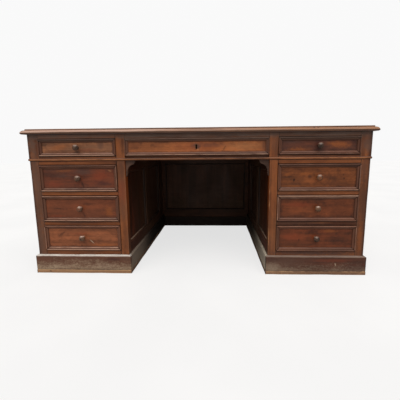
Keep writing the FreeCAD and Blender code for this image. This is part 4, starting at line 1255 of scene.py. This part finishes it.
# Drawer boxes. Plain boxes of unpolished pale wood behind the fronts: two sides, a back, and a bottom that
# slides into grooves. Age has browned them, and the sides are worn smooth by the runners.

BOX_WOOD = ((190, 146, 100), (146, 104, 68), (128, 92, 62))
BOX_SHIFT = np.array((1.3, 0.7, 2.1))

for count, drawer in enumerate(drawers):
    how = {"cloudiness": 0.4, "rough": (0.5, 0.8), "bump": 0.0006, "shift": count * BOX_SHIFT}
    dress_node(node_finish(f"{drawer}_box_wood", BOX_WOOD, ALONG_Y, **how), f"{drawer}_drawer_box")

# Knobs. Turned walnut knobs on spigots glued through the fronts: a small foot, a waisted neck and a domed
# head. Fingers have polished the domes nearly black, and a pale painted highlight lies along their upper
# side.

KNOB_FOOT = (0.009, 0.0025)
KNOB_FOOT_STEP = 0.0006
KNOB_NECK = (0.0062, 0.008)
KNOB_NECK_SWEEP = 0.0010
KNOB_HEAD_SWEEP = 0.0025
KNOB_RADIUS = 0.015
KNOB_RIM = (0.0165, 0.0225)
KNOB_RIM_ROUND = 0.0016
KNOB_TURNS = 40
KNOB_LOOK = ((118, 82, 58), (34, 21, 16), (58, 41, 32), (150, 112, 86), (16, 10, 8))
# Painted highlight laid on the upper side of each knob.
KNOB_PAINTED_HIGHLIGHT = (208, 176, 158)
KNOB_COAT = {"Coat Weight": 0.4, "Coat Roughness": 0.12}
KNOB_TONES = {
    "left_frieze": 0.2, "left_upper": 0.25, "left_middle": 0.4, "left_lower": 0.6, "right_frieze": 0.1,
    "right_upper": 0.5, "right_middle": 0.95, "right_lower": 0.0,
}
KNOB_MARKS = [
    ("knot", -610, 193, 4.5, 4.5, 0, 0.8), ("orange", 610, 509, 12, 12, 0, 0.5),
    ("red", -610, 351, 9, 9, 0, 0.4),
]


def knob_dress(tree, colour, dullness):
    """Dress of the knobs: a pale painted highlight along the upper side, and the marks of single knobs."""
    strength = smooth(read(tree, "tone")["Fac"], 0.0, 0.3, 0.25, 0.55)
    painted_highlight = smooth(facing(tree)[2], 0.42, 0.85, 0.0, strength)
    return laid(stained(colour, KNOB_MARKS), painted_highlight, KNOB_PAINTED_HIGHLIGHT), dullness


knob_walnut = board_finish("knob_walnut", KNOB_LOOK, 0.25, amount=0.2, rough=(0.10, 0.28), dress=knob_dress)
for label, value in KNOB_COAT.items():
    knob_walnut.node_tree.nodes["Principled BSDF"].inputs[label].default_value = value


def turned_knob(centre, length, tone):
    """Knob turned about a line along Y: an outline of radius and height swung round through a full circle."""
    edge = KNOB_RADIUS - KNOB_RIM_ROUND
    rise = length - KNOB_RIM[1]
    ball = (edge**2 + rise**2) / (2 * rise)
    lean = np.linspace(math.atan2(edge, ball - rise), 0.02, 9)
    dome = np.stack((ball * np.sin(lean), length - ball + ball * np.cos(lean)), 1)
    curve = np.concatenate((
        [(KNOB_FOOT[0], 0.0), (KNOB_FOOT[0], 0.6 * KNOB_FOOT[1])],
        arc((KNOB_FOOT[0] - KNOB_FOOT_STEP, KNOB_FOOT[1]), KNOB_NECK, KNOB_NECK_SWEEP, 6),
        arc(KNOB_NECK, (edge, KNOB_RIM[0]), KNOB_HEAD_SWEEP, 9)[1:],
        arc((edge, KNOB_RIM[0]), (edge, KNOB_RIM[1]), -KNOB_RIM_ROUND, 7)[1:],
        dome[1:],
    ))
    wear = np.concatenate((
        [-1.0, -0.4], np.full(6, -0.3), np.linspace(-0.3, 0.1, 8), np.linspace(0.6, 1.0, 6),
        np.linspace(0.8, 0.3, 8),
    ))
    angle = np.linspace(0, 2 * np.pi, KNOB_TURNS, endpoint=False)
    radius, height = curve[:, :1], np.broadcast_to(curve[:, 1:], (len(curve), KNOB_TURNS))
    grid = np.stack((radius * np.cos(angle), -height, radius * np.sin(angle)), -1)
    grain = np.stack((height, grid[..., 0], grid[..., 2]), -1) + rng.uniform(0, 9, 3)
    faces = tube_faces(len(curve), KNOB_TURNS)
    return surface(grid + centre, faces, grain, np.repeat(wear, KNOB_TURNS), tone)


for drawer in drawers[:-1]:
    knob_low, knob_high = box_of(f"{drawer}_drawer_knob")
    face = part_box(f"{drawer}_drawer_front")[0][1]
    centre = (knob_low + knob_high) / 2
    centre[1] = face
    knob = turned_knob(centre, face - knob_low[1], KNOB_TONES[drawer])
    body, nodes = f"{drawer}_drawer", [f"{drawer}_drawer_knob"]
    fitted(f"{drawer}_turned_knob", [knob], knob_walnut, nodes, body)

# Lock. A small brass lock let into the back of the middle drawer front, with a steel bolt that rises into
# the rail above, and a thin brass liner in the keyhole. The brass has tarnished brown and the bolt is dull.

KEYHOLE_RADIUS = 0.005
KEYHOLE_SLOT = 0.006
KEYHOLE_HIGH = 0.022
LINER_ROUND = 0.0008
LINER_SIDES = 8
LINER_BRASS = ((98, 78, 58), (48, 36, 28))
CASE_BRASS = ((190, 150, 84), (108, 80, 46))
BOLT_STEEL = ((150, 148, 144), (96, 90, 84))


def metal_finish(name, look, rough):
    """Finish of an old metal: clouds of tarnish from a bright to a dull colour, and fine scratches."""
    finish, tree = new_finish(name)
    place = object_place(tree)
    tarnish = smooth(speckle(place, (60.0, 60.0, 60.0), 5.0, 0.65), 0.35, 0.65)
    scratch = speckle(place, (900.0, 900.0, 60.0))
    tree.nodes["Principled BSDF"].inputs["Metallic"].default_value = 1.0
    colour = blended(tarnish, *(shade(card) for card in look))
    return finished(finish, colour, smooth(tarnish, 0.0, 1.0, *rough), scratch, bump=0.0001)


def keyhole_liner(x, y, z):
    """Thin rim round a keyhole: a small circle carried along the keyhole's outline and joined up both ways.

    The outline is an arc about the eye whose ends run down as two straight sides to a short foot. The circle
    stands square to the outline, half sunk in the wood.
    """
    half, eye = KEYHOLE_SLOT / 2, KEYHOLE_HIGH / 2 - KEYHOLE_RADIUS
    open_angle = math.acos(half / KEYHOLE_RADIUS)
    turn = np.linspace(-open_angle, np.pi + open_angle, 29)
    round_part = np.stack((KEYHOLE_RADIUS * np.cos(turn), eye + KEYHOLE_RADIUS * np.sin(turn)), 1)
    foot = -KEYHOLE_HIGH / 2
    sides = np.linspace(foot, round_part[0, 1], 6)[:-1]
    right = np.stack((np.full(5, half), sides), 1)
    outline = np.concatenate((right, round_part, (right * (-1, 1))[::-1], [(0.0, foot)]))
    points, normals, _ = shaped(outline, np.zeros(len(outline)))
    angle = np.linspace(0, 2 * np.pi, LINER_SIDES, endpoint=False)[:, None]
    flat = points[:, None] + LINER_ROUND * np.cos(angle) * normals[:, None]
    forward = np.broadcast_to(-LINER_ROUND * np.sin(angle), (len(points), LINER_SIDES, 1))
    grid = np.concatenate((x + flat[..., :1], y + forward, z + flat[..., 1:]), -1)
    spot = np.arange(grid.size // 3).reshape(-1, LINER_SIDES)
    after = np.roll(spot, -1, 0)
    quads = np.stack((spot, after, np.roll(after, -1, 1), np.roll(spot, -1, 1)), -1)
    return surface(grid, (quads.ravel(), np.full(quads.size // 4, 4)), grid, np.zeros(grid.size // 3), 0.0)


centre_low, centre_high = box_of("centre_drawer_front")
liner = keyhole_liner(0.0, centre_low[1], (centre_low[2] + centre_high[2]) / 2)
dark_brass = metal_finish("dark_brass", LINER_BRASS, (0.4, 0.65))
fitted("keyhole_liner", [liner], dark_brass, [], "centre_drawer")
dress_node(metal_finish("tarnished_brass", CASE_BRASS, (0.3, 0.6)), "lock_case")
dress_node(metal_finish("dull_steel", BOLT_STEEL, (0.32, 0.55)), "lock_bolt")

# Floor, light and camera. A plain pale floor under a bright overcast sky: one large soft light above and in
# front of the desk, with the camera where the photograph was taken from.

FLOOR_SIZE = 14.0
FLOOR_LEVEL = -0.0005
FLOOR_PALE = (118, 117, 116)
FLOOR_PATCH = (168, 166, 163)
FLOOR_BOUNCE = (160, 158, 155)
FLOOR_GLOW = (0.72, 0.72, 0.72, 1.0)
SUNLIGHT = (1.0, 0.965, 0.92)
SUN_POWER = 2.7
SUN_RISE = math.radians(64)
SUN_SPREAD = math.radians(75)
SKY = (0.93, 0.96, 1.0, 1.0)
SKY_STRENGTH = 0.32
BACKDROP = (1.0, 1.0, 1.0, 1.0)
BACKDROP_STRENGTH = 0.95
EYE = (0.1031, -1.7590, 0.6439)
YAW, PITCH, ROLL = 0.03397, -0.14150, -0.00843
FOCAL_PIXELS = 259.4
PICTURE = 400.0
PICTURE_CENTRE = (208.40, 188.00)
SENSOR = 36.0


def placed(name, data):
    """New object in the scene that holds a mesh, a lamp or a camera."""
    holder = bpy.data.objects.new(name, data)
    bpy.context.scene.collection.objects.link(holder)
    return holder


reach = np.linspace(-FLOOR_SIZE, FLOOR_SIZE, 3)
floor_mesh = bpy.data.meshes.new("floor")
floor_grid = np.stack(np.meshgrid(reach, reach, [FLOOR_LEVEL], indexing="ij"), -1).reshape(-1, 3)
floor_mesh.from_pydata(floor_grid.tolist(), [], [(0, 3, 4, 1), (1, 4, 5, 2), (3, 6, 7, 4), (4, 7, 8, 5)])
floor_finish, tree = new_finish("pale_floor")
patch = smooth(speckle(object_place(tree), (1.5, 1.5, 1.5), 3.0), 0.3, 0.7, 0.0, 0.15)
seen = add(tree, "ShaderNodeLightPath").outputs["Is Camera Ray"]
pale = blended(patch, shade(FLOOR_PALE), shade(FLOOR_PATCH))
shader = tree.nodes["Principled BSDF"].inputs
put(shader, {"Base Color": blended(seen, shade(FLOOR_BOUNCE), pale), "Emission Strength": seen})
shader["Emission Color"].default_value = FLOOR_GLOW
shader["Roughness"].default_value = 0.85
floor_mesh.materials.append(floor_finish)
placed("floor", floor_mesh)

lamp = bpy.data.lights.new("bright_cloud", "SUN")
lamp.energy, lamp.angle, lamp.color = SUN_POWER, SUN_SPREAD, SUNLIGHT
placed("bright_cloud", lamp).rotation_euler = (math.pi / 2 - SUN_RISE, 0.0, 0.0)

world = bpy.data.worlds.new("overcast")
bpy.context.scene.world = world
world.use_nodes = True
tree = world.node_tree
sky = tree.nodes["Background"]
sky.inputs["Color"].default_value = SKY
sky.inputs["Strength"].default_value = SKY_STRENGTH
backdrop = add(tree, "ShaderNodeBackground", {"Color": BACKDROP, "Strength": BACKDROP_STRENGTH})
seen = add(tree, "ShaderNodeLightPath").outputs["Is Camera Ray"]
either = add(tree, "ShaderNodeMixShader", {0: seen, 1: sky.outputs[0], 2: backdrop.outputs[0]}).outputs[0]
put(tree.nodes["World Output"].inputs, {"Surface": either})
bpy.context.scene.view_settings.view_transform = "Standard"

forward = np.array((-math.sin(YAW) * math.cos(PITCH), math.cos(YAW) * math.cos(PITCH), math.sin(PITCH)))
level = np.array((math.cos(YAW), math.sin(YAW), 0.0))
upward = np.cross(level, forward)
right = math.cos(ROLL) * level + math.sin(ROLL) * upward
above = math.cos(ROLL) * upward - math.sin(ROLL) * level
lens = bpy.data.cameras.new("camera")
lens.sensor_width = SENSOR
lens.lens = FOCAL_PIXELS / PICTURE * SENSOR
lens.shift_x = 0.5 - PICTURE_CENTRE[0] / PICTURE
lens.shift_y = PICTURE_CENTRE[1] / PICTURE - 0.5
stand = np.eye(4)
stand[:3] = np.stack((right, above, -forward, EYE), 1)
camera = placed("camera", lens)
camera.matrix_world = Matrix(stand)
bpy.context.scene.camera = camera
